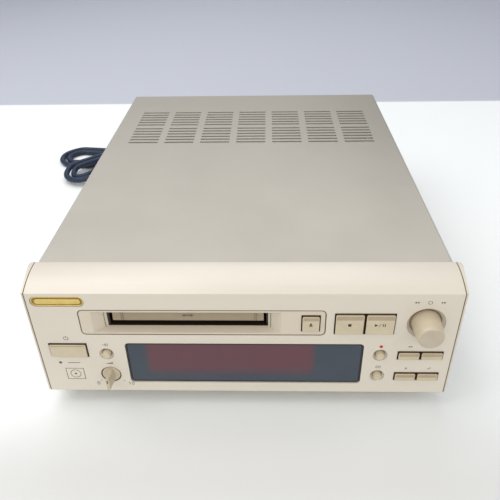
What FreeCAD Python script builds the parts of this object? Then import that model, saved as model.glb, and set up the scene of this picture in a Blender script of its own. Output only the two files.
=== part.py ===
import FreeCAD, Part
import math
import os
import re
import Sketcher

Vector = FreeCAD.Vector

# The deck stands on its feet at Z = 0, faces -Y, and lies about X = 0.
# Every sub-part is drawn in the fascia's own frame: X across from the middle, Y back from the
# front plate's face and Z up from its lower edge. Its Placement then sets it on the feet.

# Driving dimensions, in millimetres and degrees
SIZES = {
    # Cabinet
    "cabinet_width": 205.0,
    "front_height": 62.6,
    "crown_height": 66.9,
    "foot_height": 10.0,
    "brow_depth": 19.2,
    "brow_radius": 38.0,
    "cover_length": 243.5,
    "cover_width": 198.8,
    "cover_sheet": 0.8,
    "cover_bend": 2.0,
    "cover_hem": 0.4,
    "pan_sheet": 1.0,
    "pan_flange": 14.0,
    "pan_lip": 10.0,
    "panel_sheet": 1.0,
    "panel_play": 0.15,
    # Vents in the cover
    "vent_long": 20.0,
    "vent_slot": 2.1,
    "vent_columns": 7,
    "vent_rows": 6,
    "vent_column_pitch": 24.9,
    "vent_row_pitch": 5.08,
    "vent_group_pitch": 33.0,
    "vent_start": 165.0,
    # Fascia moulding
    "fascia_width": 200.4,
    "fascia_wall": 2.5,
    "fascia_side": 2.0,
    "brow_sheet": 2.0,
    "lip_depth": 5.0,
    "lip_sheet": 1.6,
    "boss_wide": 5.0,
    "boss_left_x": -90.0,
    "boss_left_low": 8.0,
    "boss_left_high": 50.0,
    "boss_middle_x": 65.9,
    "boss_middle_low": 4.4,
    "boss_middle_high": 34.5,
    "boss_right_x": 94.0,
    "boss_right_z": 57.0,
    "board_place": 8.4,
    "board_low": 3.5,
    "board_high": 58.0,
    "board_half": 95.0,
    "board_notch_half": 40.5,
    "board_notch_z": 37.3,
    "fillet_spare": 0.01,
    "joint_gap": 0.3,
    # End caps
    "cap_front": 1.2,
    "cap_bow": 90.0,
    "cap_corner": 1.6,
    "cap_setback": 0.4,
    # Loading bezel and its flap
    "bezel_x": -19.25,
    "bezel_z": 45.6,
    "bezel_wide": 115.7,
    "bezel_tall": 14.8,
    "bezel_corner": 2.2,
    "bezel_plate": 3.5,
    "bezel_lap": 1.5,
    "slot_x": -26.6,
    "slot_wide": 75.0,
    "slot_flare": 7.1,
    "slot_top": 51.8,
    "sill_front": 39.3,
    "sill_back": 40.4,
    "mouth_depth": 5.0,
    "tunnel_depth": 7.5,
    "tunnel_wall": 2.0,
    "tunnel_floor": 1.2,
    "flap_wide": 72.6,
    "flap_sheet": 1.2,
    "flap_drop": 7.8,
    "flap_barrel": 1.2,
    "flap_pin_radius": 0.8,
    "flap_pin_y": 6.0,
    "flap_pin_z": 50.3,
    "pin_play": 0.05,
    # Name plate and window
    "plate_x": -85.6,
    "plate_z": 57.95,
    "plate_wide": 25.2,
    "plate_tall": 5.9,
    "plate_recess": 1.3,
    "plate_sheet": 0.8,
    "window_x": 0.0,
    "window_z": 19.25,
    "window_wide": 115.5,
    "window_tall": 26.5,
    "window_corner": 2.0,
    "window_set": 0.5,
    "window_gap": 0.25,
    "window_flange": 1.0,
    "window_lap": 2.5,
    "tube_wide": 96.0,
    "tube_tall": 20.0,
    "tube_deep": 4.2,
    # Buttons
    "power_x": -85.65,
    "power_z": 27.85,
    "power_wide": 18.9,
    "power_tall": 9.1,
    "transport_x": 56.75,
    "transport_z": 45.15,
    "transport_wide": 28.3,
    "transport_tall": 12.7,
    "skip_x": 85.1,
    "skip_z": 25.3,
    "edit_x": 84.95,
    "edit_z": 11.3,
    "pair_wide": 22.0,
    "pair_tall": 5.6,
    "eject_x": 31.7,
    "eject_z": 45.4,
    "eject_wide": 9.0,
    "eject_tall": 10.0,
    "button_gap": 0.45,
    "button_bevel": 0.35,
    "button_proud": 1.0,
    "button_travel": 0.8,
    "flange_lap": 0.8,
    "flange_sheet": 1.0,
    "stem_wide": 2.0,
    "round_radius": 2.0,
    "round_proud": 1.5,
    "round_gap": 0.3,
    "round_dish": 3.55,
    "dish_depth": 1.6,
    "record_x": 65.9,
    "record_z": 25.4,
    "display_x": 65.8,
    "display_z": 11.7,
    "input_x": -67.4,
    "input_z": 25.4,
    "switch_wide": 6.0,
    "switch_deep": 2.5,
    "lamp_x": -91.5,
    "lamp_z": 19.4,
    "lamp_radius": 0.75,
    # Jog control
    "jog_x": 85.05,
    "jog_z": 45.4,
    "jog_rim": 9.0,
    "jog_rim_depth": 1.8,
    "jog_hole": 7.4,
    "jog_base": 6.8,
    "jog_proud": 10.5,
    "jog_seat": 2.0,
    "jog_top": 6.05,
    "jog_edge": 0.35,
    "jog_shaft_radius": 3.0,
    "jog_shaft_reach": 6.0,
    "jog_tip_radius": 2.0,
    "jog_tip": 2.3,
    "jog_travel": 0.6,
    "rotor_radius": 5.2,
    "rotor_sheet": 1.9,
    "housing_wide": 14.0,
    "housing_deep": 5.5,
    "housing_wall": 1.0,
    "shaft_play": 0.05,
    # Recording level control
    "level_x": -67.2,
    "level_z": 11.5,
    "level_hole": 5.1,
    "level_base": 4.6,
    "level_fin_long": 8.6,
    "level_fin_wide": 3.4,
    "level_fin_edge": 0.85,
    "level_proud": 7.5,
    "level_shaft_radius": 2.0,
    "level_shaft_reach": 4.4,
    "pot_wide": 11.0,
    # Disc drive
    "deck_wide": 111.0,
    "deck_start": 26.0,
    "deck_long": 104.0,
    "deck_top": 27.0,
    "deck_sheet": 1.2,
    "deck_foot": 8.0,
    "damper_wide": 8.0,
    "damper_tall": 4.0,
    "damper_inset": 6.0,
    "base_wide": 99.0,
    "base_start": 30.0,
    "base_long": 94.0,
    "base_sheet": 3.0,
    "guide_sheet": 2.5,
    "guide_start": 40.0,
    "guide_long": 56.0,
    "guide_top": 46.0,
    "holder_start": 34.0,
    "holder_long": 68.0,
    "holder_inside": 73.0,
    "holder_floor": 41.0,
    "holder_roof": 47.1,
    "holder_sheet": 0.8,
    "holder_lip": 5.0,
    "holder_drop": 3.5,
    "cam_travel": 10.0,
    "cam_sheet": 2.0,
    "cam_start": 44.0,
    "cam_long": 52.0,
    "cam_ease": 1.35,
    "cam_cut": 0.4,
    "cam_pin": 1.0,
    "cam_pin_near": 56.0,
    "cam_pin_far": 88.0,
    "cam_pin_z": 42.6,
    "spindle_y": 66.0,
    "spindle_can": 11.0,
    "spindle_can_tall": 4.0,
    "table_radius": 9.5,
    "table_sheet": 2.0,
    "spindle_radius": 1.0,
    "rib_near": 78.0,
    "rib_far": 122.0,
    "rib_sheet": 2.0,
    "rib_top": 39.6,
    "rib_reach": 5.0,
    "base_window_edge": 4.0,
    "rod_radius": 1.5,
    "rod_apart": 32.0,
    "rod_z": 37.0,
    "sled_wide": 42.0,
    "sled_long": 20.0,
    "sled_tall": 5.4,
    "sled_travel": 16.0,
    "lens_radius": 3.0,
    "lens_tall": 0.8,
    "lens_inset": 5.5,
    "nut_wall": 2.0,
    "screw_x": 25.0,
    "screw_radius": 1.4,
    "journal_radius": 1.0,
    "journal_reach": 3.0,
    "journal_room": 4.0,
    "sled_motor_radius": 6.0,
    "sled_motor_long": 14.0,
    "loading_motor_wide": 10.0,
    "loading_motor_long": 15.0,
    # Power supply and boards
    "board_sheet": 1.6,
    "post_tall": 6.0,
    "post_wide": 6.0,
    "core_x": -70.0,
    "core_y": 208.0,
    "core_wide": 48.0,
    "core_tall": 40.0,
    "core_deep": 24.0,
    "core_window": 8.0,
    "coil_overhang": 7.0,
    "coil_gap": 0.2,
    "supply_x": -69.0,
    "supply_y": 163.0,
    "supply_wide": 50.0,
    "supply_long": 46.0,
    "main_x": 28.0,
    "main_y": 200.0,
    "main_wide": 128.0,
    "main_long": 106.0,
    "can_radius": 6.5,
    "can_tall": 24.0,
    "can_pitch": 18.0,
    "can_back": 8.0,
    "main_can_x": 48.0,
    "main_can_back": 36.0,
    "box_wide": 6.0,
    "box_tall": 12.0,
    "box_pitch": 10.0,
    "box_row": 30.0,
    "box_start": 45.0,
    "chip_wide": 14.0,
    "chip_tall": 2.0,
    "chip_pitch": 35.0,
    "chip_start": 20.0,
    "chip_back": 10.0,
    # Rear sockets
    "jack_x": -18.0,
    "jack_z": 25.0,
    "jack_pitch": 14.0,
    "jack_radius": 4.15,
    "jack_bore": 1.6,
    "jack_proud": 9.5,
    "jack_block": 28.0,
    "jack_block_deep": 10.0,
    "optic_x": 20.0,
    "optic_pitch": 18.0,
    "optic_wide": 10.0,
    "optic_bore": 5.6,
    "optic_proud": 1.5,
    "optic_deep": 12.0,
    "optic_bore_deep": 6.0,
    # Mains lead
    "gland_x": -48.0,
    "gland_z": 14.0,
    "gland_neck": 4.0,
    "gland_flange": 7.0,
    "gland_flange_deep": 2.5,
    "gland_sleeve": 4.0,
    "gland_long": 22.0,
    "cord_thick": 5.0,
    "cord_gap": 1.5,
    "cord_clear": 0.1,
    "cord_sides": 6,
    "lead_run": 13.0,
    "hank_loops": 2,
    "hank_radius": 21.0,
    "hank_y": 306.0,
    "hank_right_x": -25.0,
    "hank_left_x": -170.0,
    "fan_x": -156.0,
    "fan_y": 268.0,
    "fan_lift": 5.8,
    "fan_tip_lift": 1.0,
    "waist_x": -122.0,
    "waist_y": 300.0,
    "waist_half": 17.0,
    "tie_sheet": 0.8,
    "tie_wide": 9.0,
    "tie_room": 4.6,
    "plug_x": 43.0,
    "plug_y": 284.6,
    "plug_z": -2.6,
    "plug_neck": 9.0,
    "plug_neck_radius": 4.0,
    "plug_long": 24.0,
    "plug_wide": 21.0,
    "plug_tall": 14.4,
    "plug_corner": 3.0,
    "plug_pitch": 12.7,
    "blade_long": 17.0,
    "blade_wide": 6.3,
    "blade_sheet": 1.5,
    # Feet
    "foot_radius": 13.0,
    "foot_x": 78.0,
    "foot_front": 42.0,
    "foot_rear": 232.0,
}

# Places worked out from the driving dimensions
PLACES = {
    "rear": "brow_depth + cover_length",
    "face_y": "(jog_proud - jack_proud - rear) / 2",
    "inside": "cover_width / 2 - cover_sheet",
    "roof": "crown_height - cover_sheet",
    "slot_half": "slot_wide / 2",
    "board_back": "board_place + board_sheet",
    "cap_reach": "(cabinet_width - fascia_width) / 2",
    "base_floor": "deck_top + damper_tall",
    "base_top": "base_floor + base_sheet",
    "holder_half": "holder_inside / 2 + holder_sheet",
    "guide_face": "holder_half + joint_gap",
    "cam_face": "guide_face + guide_sheet + joint_gap",
    "shoulder": "fascia_wall + joint_gap",
    "switch_front": "board_place - switch_deep",
    "housing_front": "board_place - housing_deep",
    "board_top": "pan_sheet + post_tall + board_sheet",
    "cam_room": "cam_ease * (cam_pin + joint_gap)",
    "tie_half": "waist_half + cord_thick / 2 + tie_room",
    "button_half": "pair_wide / 4",
    "transport_half": "transport_wide / 4",
}

DOC = FreeCAD.newDocument("minidisc_deck")


def tied(text):
    """An expression with each plain name turned into its cell of the two sheets."""

    def cell(match):
        word = match.group(0)
        if word in SIZES:
            return "Sizes." + word
        if word in PLACES:
            return "Places." + word
        return word

    return re.sub(r"[a-z][a-z_]*", cell, str(text))


def fill_sheets():
    """The sheet of driving dimensions, and the sheet of places that follow from them."""
    sizes = DOC.addObject("Spreadsheet::Sheet", "Sizes")
    for row, (name, value) in enumerate(SIZES.items(), 1):
        sizes.set("A%d" % row, name)
        sizes.set("B%d" % row, str(value))
        sizes.setAlias("B%d" % row, name)
    places = DOC.addObject("Spreadsheet::Sheet", "Places")
    for row, (name, formula) in enumerate(PLACES.items(), 1):
        places.set("A%d" % row, name)
        places.set("B%d" % row, "=" + tied(formula).replace("Places.", ""))
        places.setAlias("B%d" % row, name)
    DOC.recompute()
    return sizes


SHEET = fill_sheets()


def worth(text):
    """The present value of an expression, in millimetres."""
    found = SHEET.evalExpression(tied(text))
    return float(getattr(found, "Value", found))


# Drawing helpers

PLANES = {"X": "YZ_Plane", "Y": "XZ_Plane", "Z": "XY_Plane"}


def make_body(name):
    """A new body, placed so that its fascia frame stands on the feet."""
    body = DOC.addObject("PartDesign::Body", name)
    body.Label = name
    body.setExpression(".Placement.Base.y", tied("face_y"))
    body.setExpression(".Placement.Base.z", tied("foot_height"))
    return body


def make_sketch(body, axis, start):
    """A sketch square to an axis of the body, at the distance `start` along it."""
    sketch = body.newObject("Sketcher::SketchObject", "Sketch")
    plane = [item for item in body.Origin.OriginFeatures if item.Role == PLANES[axis]][0]
    sketch.AttachmentSupport = [(plane, "")]
    sketch.MapMode = "FlatFace"
    sign = "-" if axis == "Y" else ""
    sketch.setExpression(".AttachmentOffset.Base.z", "%s(%s)" % (sign, tied(start)))
    return sketch


def pin_value(sketch, kind, items, text):
    """A driving constraint whose value follows an expression."""
    index = sketch.addConstraint(Sketcher.Constraint(kind, *items, worth(text)))
    sketch.setExpression("Constraints[%d]" % index, tied(text))


def pin_point(sketch, curve, end, across, up):
    """Hold a point of a curve at two distances from the sketch's origin."""
    pin_value(sketch, "DistanceX", (-1, 1, curve, end), across)
    pin_value(sketch, "DistanceY", (-1, 1, curve, end), up)


def outline(sketch, points, bows=None):
    """A closed outline through points; `bows` gives the radius of each edge that is an arc."""
    bows = bows or {}
    places = [Vector(worth(across), worth(up), 0) for across, up in points]
    first = sketch.GeometryCount
    count = len(points)
    ends = {}
    for index, place in enumerate(places):
        other = places[(index + 1) % count]
        if index not in bows:
            sketch.addGeometry(Part.LineSegment(place, other), False)
            ends[index] = (1, 2)
            continue
        radius = worth(bows[index])
        half = (other - place) / 2
        normal = Vector(-half.y, half.x, 0).normalize()
        centre = place + half + normal * math.copysign(math.sqrt(radius ** 2 - half.Length ** 2), radius)
        top = centre - normal * math.copysign(abs(radius), radius)
        arc = Part.Arc(place, top, other)
        sketch.addGeometry(arc, False)
        begin, end = sketch.getPoint(first + index, 1), sketch.getPoint(first + index, 2)
        ends[index] = (2, 1) if (begin - place).Length > (end - place).Length else (1, 2)
    for index in range(count):
        after = (index + 1) % count
        joined = (first + index, ends[index][1], first + after, ends[after][0])
        sketch.addConstraint(Sketcher.Constraint("Coincident", *joined))
    for index, (across, up) in enumerate(points):
        pin_point(sketch, first + index, ends[index][0], across, up)
    for index, radius in bows.items():
        pin_value(sketch, "Radius", (first + index,), "abs(%s)" % radius)


def rectangle(sketch, across, up, wide, tall):
    """A rectangle about its centre."""
    left = "%s - (%s) / 2" % (across, wide)
    right = "%s + (%s) / 2" % (across, wide)
    low = "%s - (%s) / 2" % (up, tall)
    high = "%s + (%s) / 2" % (up, tall)
    outline(sketch, [(left, low), (right, low), (right, high), (left, high)])


def circle(sketch, across, up, radius):
    """A circle about its centre."""
    place = Vector(worth(across), worth(up), 0)
    curve = sketch.addGeometry(Part.Circle(place, Vector(0, 0, 1), worth(radius)), False)
    pin_point(sketch, curve, 3, across, up)
    pin_value(sketch, "Radius", (curve,), radius)


def draw(sketch, shapes):
    """Draw a list of shapes, each a function and its values."""
    for shape, *values in shapes:
        shape(sketch, *values)


def pad(body, axis, start, length, *shapes, taper=None):
    """Raise shapes from `start` along an axis."""
    sketch = make_sketch(body, axis, start)
    draw(sketch, shapes)
    feature = body.newObject("PartDesign::Pad", "Pad")
    feature.Profile = sketch
    feature.setExpression("Length", tied(length))
    feature.Reversed = axis == "Y"
    if taper:
        feature.setExpression("TaperAngle", tied(taper))
    return feature


def pocket(body, axis, start, length, *shapes):
    """Cut shapes away from `start` along an axis."""
    sketch = make_sketch(body, axis, start)
    draw(sketch, shapes)
    feature = body.newObject("PartDesign::Pocket", "Pocket")
    feature.Profile = sketch
    feature.setExpression("Length", tied(length))
    feature.Reversed = axis != "Y"
    return feature


def revolve(body, across, up, points, cut=False):
    """Turn a half outline about an axis along Y; its points are (depth, radius) pairs."""
    sketch = make_sketch(body, "X", across)
    line = sketch.addGeometry(Part.LineSegment(Vector(-1, worth(up), 0), Vector(1, worth(up), 0)), True)
    sketch.addConstraint(Sketcher.Constraint("Horizontal", line))
    pin_point(sketch, line, 1, "-1", up)
    pin_value(sketch, "DistanceX", (-1, 1, line, 2), "1")
    outline(sketch, [(depth, "%s + (%s)" % (up, radius)) for depth, radius in points])
    kind = "PartDesign::Groove" if cut else "PartDesign::Revolution"
    feature = body.newObject(kind, "Groove" if cut else "Revolution")
    feature.Profile = sketch
    feature.ReferenceAxis = (sketch, ["Axis0"])
    feature.Angle = 360
    return feature


def ease(body, kind, size, choose):
    """Fillet or chamfer the edges of the body so far that `choose` picks."""
    DOC.recompute()
    base = body.Tip
    edges = ["Edge%d" % number for number, edge in enumerate(base.Shape.Edges, 1) if choose(edge)]
    feature = body.newObject("PartDesign::" + kind, kind)
    feature.Base = (base, edges)
    feature.setExpression("Radius" if kind == "Fillet" else "Size", tied(size))
    return feature


def on_plane(axis, text):
    """Picks the edges that lie in the plane across an axis at a distance."""
    place = worth(text)
    number = "xyz".index(axis.lower())
    return lambda edge: all(abs(vertex.Point[number] - place) < 1e-4 for vertex in edge.Vertexes)


def along(axis, low=None, high=None):
    """Picks the straight edges that run along an axis between two distances."""
    number = "xyz".index(axis.lower())

    def choose(edge):
        if len(edge.Vertexes) < 2 or edge.Curve.TypeId != "Part::GeomLine":
            return False
        reach = [vertex.Point[number] for vertex in edge.Vertexes]
        run = edge.Vertexes[0].Point - edge.Vertexes[1].Point
        if run.Length - abs(run[number]) > 1e-6:
            return False
        above = low is None or min(reach) > worth(low) - 1e-4
        below = high is None or max(reach) < worth(high) + 1e-4
        return above and below

    return choose


# Cabinet

def side_profile(setback="0", lower="0", back="brow_depth", drop="0"):
    """The fascia's section: a flat front and a brow that bows up and back to the cover."""
    points = [
        (setback, lower),
        (back, lower),
        (back, "crown_height - (%s)" % drop),
        (setback, "front_height - (%s)" % drop),
    ]
    return outline, points, {2: "brow_radius"}


def bottom_pan():
    """Folded steel pan with flanges on both sides and a low lip in front."""
    body = make_body("bottom_pan")
    middle = "(brow_depth + rear) / 2"
    wide = "2 * (inside - pan_sheet)"
    pad(body, "Z", "0", "pan_flange", (rectangle, "0", middle, "2 * inside", "cover_length"))
    hollow = (rectangle, "0", middle + " + pan_sheet", wide, "cover_length")
    pocket(body, "Z", "pan_sheet", "pan_flange", hollow)
    lowered = (rectangle, "0", "brow_depth", wide, "4 * pan_sheet")
    pocket(body, "Z", "pan_lip", "pan_flange", lowered)
    return body


def foot_places():
    """Where the four feet stand."""
    return [(side + "foot_x", place) for side in ("-", "") for place in ("foot_front", "foot_rear")]


def board_posts(board):
    """Where a board in the cabinet has its four posts."""
    return [("%s_x %s (%s_wide - post_wide) / 2" % (board, across, board),
             "%s_y %s (%s_long - post_wide) / 2" % (board, back, board))
            for across in "-+" for back in "-+"]


def rear_panel():
    """Flat rear panel with the socket openings and the cord's hole."""
    body = make_body("rear_panel")
    start = "rear - panel_sheet"
    middle = "(pan_sheet + roof) / 2"
    sheet = (rectangle, "0", middle, "2 * (inside - pan_sheet)", "roof - pan_sheet")
    pad(body, "Y", start, "panel_sheet", sheet)
    play = "2 * panel_play"
    holes = [(rectangle, "jack_x", "jack_z", "jack_block + " + play, "jack_block + " + play)]
    holes += [(rectangle, across, "jack_z", "optic_wide + " + play, "optic_wide + " + play)
              for across in optic_places()]
    holes.append((circle, "gland_x", "gland_z", "gland_neck + panel_play"))
    pocket(body, "Y", start, "panel_sheet", *holes)
    return body


def jack_places():
    """Centres of the four phono sockets."""
    return [("jack_x %s jack_pitch / 2" % across, "jack_z %s jack_pitch / 2" % up)
            for across in "-+" for up in "-+"]


def optic_places():
    """Centres of the two optical sockets."""
    return ["optic_x", "optic_x + optic_pitch"]


def top_cover():
    """Bent steel cover: a roof and two sides, with two fields of louvre slots."""
    body = make_body("top_cover")
    half = "cover_width / 2"
    thin = "cover_sheet"
    bend = "cover_bend"
    points = [
        ("-%s" % half, "cover_hem"),
        ("-%s + %s" % (half, thin), "cover_hem"),
        ("-%s + %s" % (half, thin), "crown_height - %s" % bend),
        ("-%s + %s" % (half, bend), "roof"),
        ("%s - %s" % (half, bend), "roof"),
        ("%s - %s" % (half, thin), "crown_height - %s" % bend),
        ("%s - %s" % (half, thin), "cover_hem"),
        (half, "cover_hem"),
        (half, "crown_height - %s" % bend),
        ("%s - %s" % (half, bend), "crown_height"),
        ("-%s + %s" % (half, bend), "crown_height"),
        ("-%s" % half, "crown_height - %s" % bend),
    ]
    inner = "-(%s - %s)" % (bend, thin)
    pad(body, "Y", "brow_depth", "cover_length", (outline, points, {2: inner, 4: inner, 8: bend, 10: bend}))
    first = "-vent_column_pitch * (vent_columns - 1) / 2"
    louvre = (rectangle, first, "vent_start", "vent_long", "vent_slot")
    slot = pocket(body, "Z", "roof", "cover_sheet", louvre)
    spread = body.newObject("PartDesign::MultiTransform", "Vents")
    spread.Originals = [slot]
    steps = []
    for direction, count, reach in (
        ("H_Axis", "vent_columns", "vent_column_pitch * (vent_columns - 1)"),
        ("V_Axis", "vent_rows", "vent_row_pitch * (vent_rows - 1)"),
        ("V_Axis", "2", "vent_group_pitch"),
    ):
        step = body.newObject("PartDesign::LinearPattern", "Step")
        step.Direction = (slot.Profile[0], [direction])
        step.setExpression("Length", tied(reach))
        step.setExpression("Occurrences", tied(count))
        steps.append(step)
    spread.Transformations = steps
    body.Tip = spread
    return body


def front_openings():
    """The straight openings through the front plate."""
    gap = "joint_gap"
    spread = [
        (rectangle, "bezel_x", "bezel_z", "bezel_wide", "bezel_tall"),
        (rectangle, "window_x", "window_z", "window_wide", "window_tall"),
        (rectangle, "power_x", "power_z", "power_wide", "power_tall"),
        (rectangle, "transport_x", "transport_z", "transport_wide", "transport_tall"),
        (rectangle, "skip_x", "skip_z", "pair_wide", "pair_tall"),
        (rectangle, "edit_x", "edit_z", "pair_wide", "pair_tall"),
        (circle, "jog_x", "jog_z", "jog_hole"),
        (circle, "level_x", "level_z", "level_hole"),
        (circle, "lamp_x", "lamp_z", "lamp_radius + pin_play"),
    ]
    for name in ("record", "display", "input"):
        spread.append((circle, name + "_x", name + "_z", "round_radius + " + gap))
    return spread


def board_bosses():
    """Where the fascia's bosses carry the front board."""
    return [
        ("boss_left_x", "boss_left_low"),
        ("boss_left_x", "boss_left_high"),
        ("boss_middle_x", "boss_middle_low"),
        ("boss_middle_x", "boss_middle_high"),
        ("boss_right_x", "boss_right_z"),
    ]


def fascia():
    """Front moulding: plate, bowed brow and the lip that the cover rests on."""
    body = make_body("fascia")
    pad(body, "X", "-fascia_width / 2", "fascia_width", side_profile())
    inside = side_profile("fascia_wall", "brow_sheet", "brow_depth", "brow_sheet")
    pocket(body, "X", "fascia_side - fascia_width / 2", "fascia_width - 2 * fascia_side", inside)
    lip = (rectangle, "0", "roof - lip_sheet / 2", "2 * (inside - cover_bend)", "lip_sheet")
    pad(body, "Y", "brow_depth - lip_depth", "2 * lip_depth", lip)
    bosses = [(rectangle, across, up, "boss_wide", "boss_wide") for across, up in board_bosses()]
    pad(body, "Y", "fascia_wall / 2", "board_place - fascia_wall / 2", *bosses)
    pocket(body, "Y", "0", "fascia_wall", *front_openings())
    plate = (rectangle, "plate_x", "plate_z", "plate_wide", "plate_tall")
    pocket(body, "Y", "0", "plate_recess", plate)
    for name, rim, depth, bore in (
        ("jog", "jog_rim", "jog_rim_depth", "jog_hole"),
        ("record", "round_dish", "dish_depth", "round_radius + round_gap"),
        ("display", "round_dish", "dish_depth", "round_radius + round_gap"),
        ("input", "round_dish", "dish_depth", "round_radius + round_gap"),
    ):
        points = [("0", "0"), ("0", rim), (depth, bore), (depth, "0")]
        revolve(body, name + "_x", name + "_z", points, cut=True)
    ease(body, "Fillet", "plate_tall / 2 - fillet_spare", corners_of("plate", "plate_recess"))
    ease(body, "Fillet", "bezel_corner", corners_of("bezel", "fascia_wall"))
    ease(body, "Fillet", "window_corner", corners_of("window", "fascia_wall"))
    return body


def corners_of(name, depth):
    """Picks the corner edges of an opening in the front plate."""
    straight = along("y", "0", depth)
    centre = Vector(worth(name + "_x"), 0, worth(name + "_z"))
    reach = Vector(worth(name + "_wide") / 2, 0, worth(name + "_tall") / 2)

    def choose(edge):
        if not straight(edge):
            return False
        place = edge.Vertexes[0].Point - centre
        return abs(abs(place.x) - reach.x) < 1e-3 and abs(abs(place.z) - reach.z) < 1e-3

    return choose


def end_cap(name, side):
    """Thin plate on the fascia's side, bowed in plan and swept back from the front."""
    body = make_body(name)
    start = "fascia_width / 2" if side > 0 else "-cabinet_width / 2"
    pad(body, "X", start, "cap_reach", side_profile("cap_setback", "0", "brow_depth", "0"))
    sign = "" if side > 0 else "-"
    beyond = "%s(cabinet_width / 2 + cap_reach)" % sign
    points = [
        (beyond, "-cap_front"),
        ("%s(fascia_width / 2 + cap_front)" % sign, "-cap_front"),
        ("%s(fascia_width / 2 + cap_front)" % sign, "cap_setback"),
        ("%s(cabinet_width / 2)" % sign, "brow_depth - 2 * cap_corner"),
        (beyond, "brow_depth - 2 * cap_corner"),
    ]
    bow = "cap_bow" if side < 0 else "-cap_bow"
    pocket(body, "Z", "0", "crown_height", (outline, points, {2: bow}))
    outer = Vector(side * worth("cabinet_width / 2"), worth("brow_depth"), 0)
    upright = along("z")

    def back_corner(edge):
        place = edge.Vertexes[0].Point
        return upright(edge) and (Vector(place.x, place.y, 0) - outer).Length < 1e-3

    ease(body, "Fillet", "cap_corner", back_corner)
    return body


# Loading slot

def loading_bezel():
    """Insert with a flared mouth, a sill that slopes in, and the tunnel that holds the flap."""
    body = make_body("loading_bezel")
    gap = "2 * joint_gap"
    face = (rectangle, "bezel_x", "bezel_z", "bezel_wide - " + gap, "bezel_tall - " + gap)
    pad(body, "Y", "0", "fascia_wall", face)
    ease(body, "Fillet", "bezel_corner - joint_gap", along("y", "0", "fascia_wall"))
    flange = (rectangle, "bezel_x", "bezel_z", "bezel_wide + 2 * bezel_lap", "bezel_tall + 2 * bezel_lap")
    pad(body, "Y", "fascia_wall", "bezel_plate - fascia_wall", flange)
    tunnel_mid = "(slot_top + tunnel_floor + sill_front - tunnel_floor) / 2"
    tunnel = (rectangle, "slot_x", tunnel_mid, "slot_wide + 2 * tunnel_wall",
              "slot_top - sill_front + 2 * tunnel_floor")
    pad(body, "Y", "fascia_wall", "tunnel_depth - fascia_wall", tunnel)
    straight = (rectangle, "slot_x", "(slot_top + sill_back) / 2", "slot_wide", "slot_top - sill_back")
    pocket(body, "Y", "0", "tunnel_depth", straight)
    funnel = body.newObject("PartDesign::SubtractiveLoft", "Funnel")
    near = make_sketch(body, "Y", "0")
    far = make_sketch(body, "Y", "mouth_depth")
    for sketch, flare, sill in ((near, "slot_flare", "sill_front"), (far, "0", "sill_back")):
        rectangle(sketch, "slot_x", "(slot_top + %s) / 2" % sill, "slot_wide + 2 * (%s)" % flare,
                  "slot_top - %s" % sill)
    funnel.Profile = near
    funnel.Sections = [far]
    pocket(body, "Y", "0", "bezel_plate", (rectangle, "eject_x", "eject_z", "eject_wide", "eject_tall"))
    bore = (circle, "flap_pin_y", "flap_pin_z", "flap_pin_radius + pin_play")
    pocket(body, "X", "slot_x - slot_half - tunnel_wall", "slot_wide + 2 * tunnel_wall", bore)
    return body


def slot_flap():
    """Sprung flap that hangs from its pin and closes the mouth."""
    body = make_body("slot_flap")
    start = "slot_x - flap_wide / 2"
    barrel = (circle, "flap_pin_y", "flap_pin_z", "flap_barrel")
    pad(body, "X", start, "flap_wide", barrel)
    blade = [
        ("flap_pin_y - flap_sheet / 2", "flap_pin_z - flap_drop"),
        ("flap_pin_y + flap_sheet / 2", "flap_pin_z - flap_drop"),
        ("flap_pin_y + flap_sheet / 2", "flap_pin_z"),
        ("flap_pin_y - flap_sheet / 2", "flap_pin_z"),
    ]
    pad(body, "X", start, "flap_wide", (outline, blade, {3: "-2 * flap_drop"}))
    pocket(body, "X", start, "flap_wide", (circle, "flap_pin_y", "flap_pin_z", "flap_pin_radius + pin_play"))
    return body


def flap_pin():
    """Steel pin through the tunnel's walls and the flap's barrel."""
    body = make_body("flap_pin")
    length = "slot_wide + 2 * tunnel_wall"
    pad(body, "X", "slot_x - (%s) / 2" % length, length,
        (circle, "flap_pin_y", "flap_pin_z", "flap_pin_radius"))
    return body


# Trim and display

def name_plate():
    """Plain pill-shaped insert in its recess."""
    body = make_body("name_plate")
    wide = "plate_wide - joint_gap"
    tall = "plate_tall - joint_gap"
    pad(body, "Y", "plate_recess - plate_sheet", "plate_sheet", (rectangle, "plate_x", "plate_z", wide, tall))
    ease(body, "Fillet", "(%s) / 2 - fillet_spare" % tall, along("y"))
    return body


def display_window():
    """Acrylic window with a rear flange behind the front plate."""
    body = make_body("display_window")
    wide = "window_wide - 2 * window_gap"
    tall = "window_tall - 2 * window_gap"
    pad(body, "Y", "window_set", "fascia_wall - window_set", (rectangle, "window_x", "window_z", wide, tall))
    ease(body, "Fillet", "window_corner - window_gap", along("y"))
    lap = " + 2 * window_lap"
    flange = (rectangle, "window_x", "window_z", "window_wide" + lap, "window_tall" + lap)
    pad(body, "Y", "fascia_wall", "window_flange", flange)
    return body


def display_tube():
    """Glass display tube on the front board."""
    body = make_body("display_tube")
    glass = (rectangle, "window_x", "window_z", "tube_wide", "tube_tall")
    pad(body, "Y", "board_place - tube_deep", "tube_deep", glass)
    return body


def front_board():
    """Circuit board behind the fascia, notched for the disc."""
    body = make_body("front_board")
    points = [
        ("-board_half", "board_low"),
        ("board_half", "board_low"),
        ("board_half", "board_high"),
        ("slot_x + board_notch_half", "board_high"),
        ("slot_x + board_notch_half", "board_notch_z"),
        ("slot_x - board_notch_half", "board_notch_z"),
        ("slot_x - board_notch_half", "board_high"),
        ("-board_half", "board_high"),
    ]
    pad(body, "Y", "board_place", "board_sheet", (outline, points))
    return body


# Buttons

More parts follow.
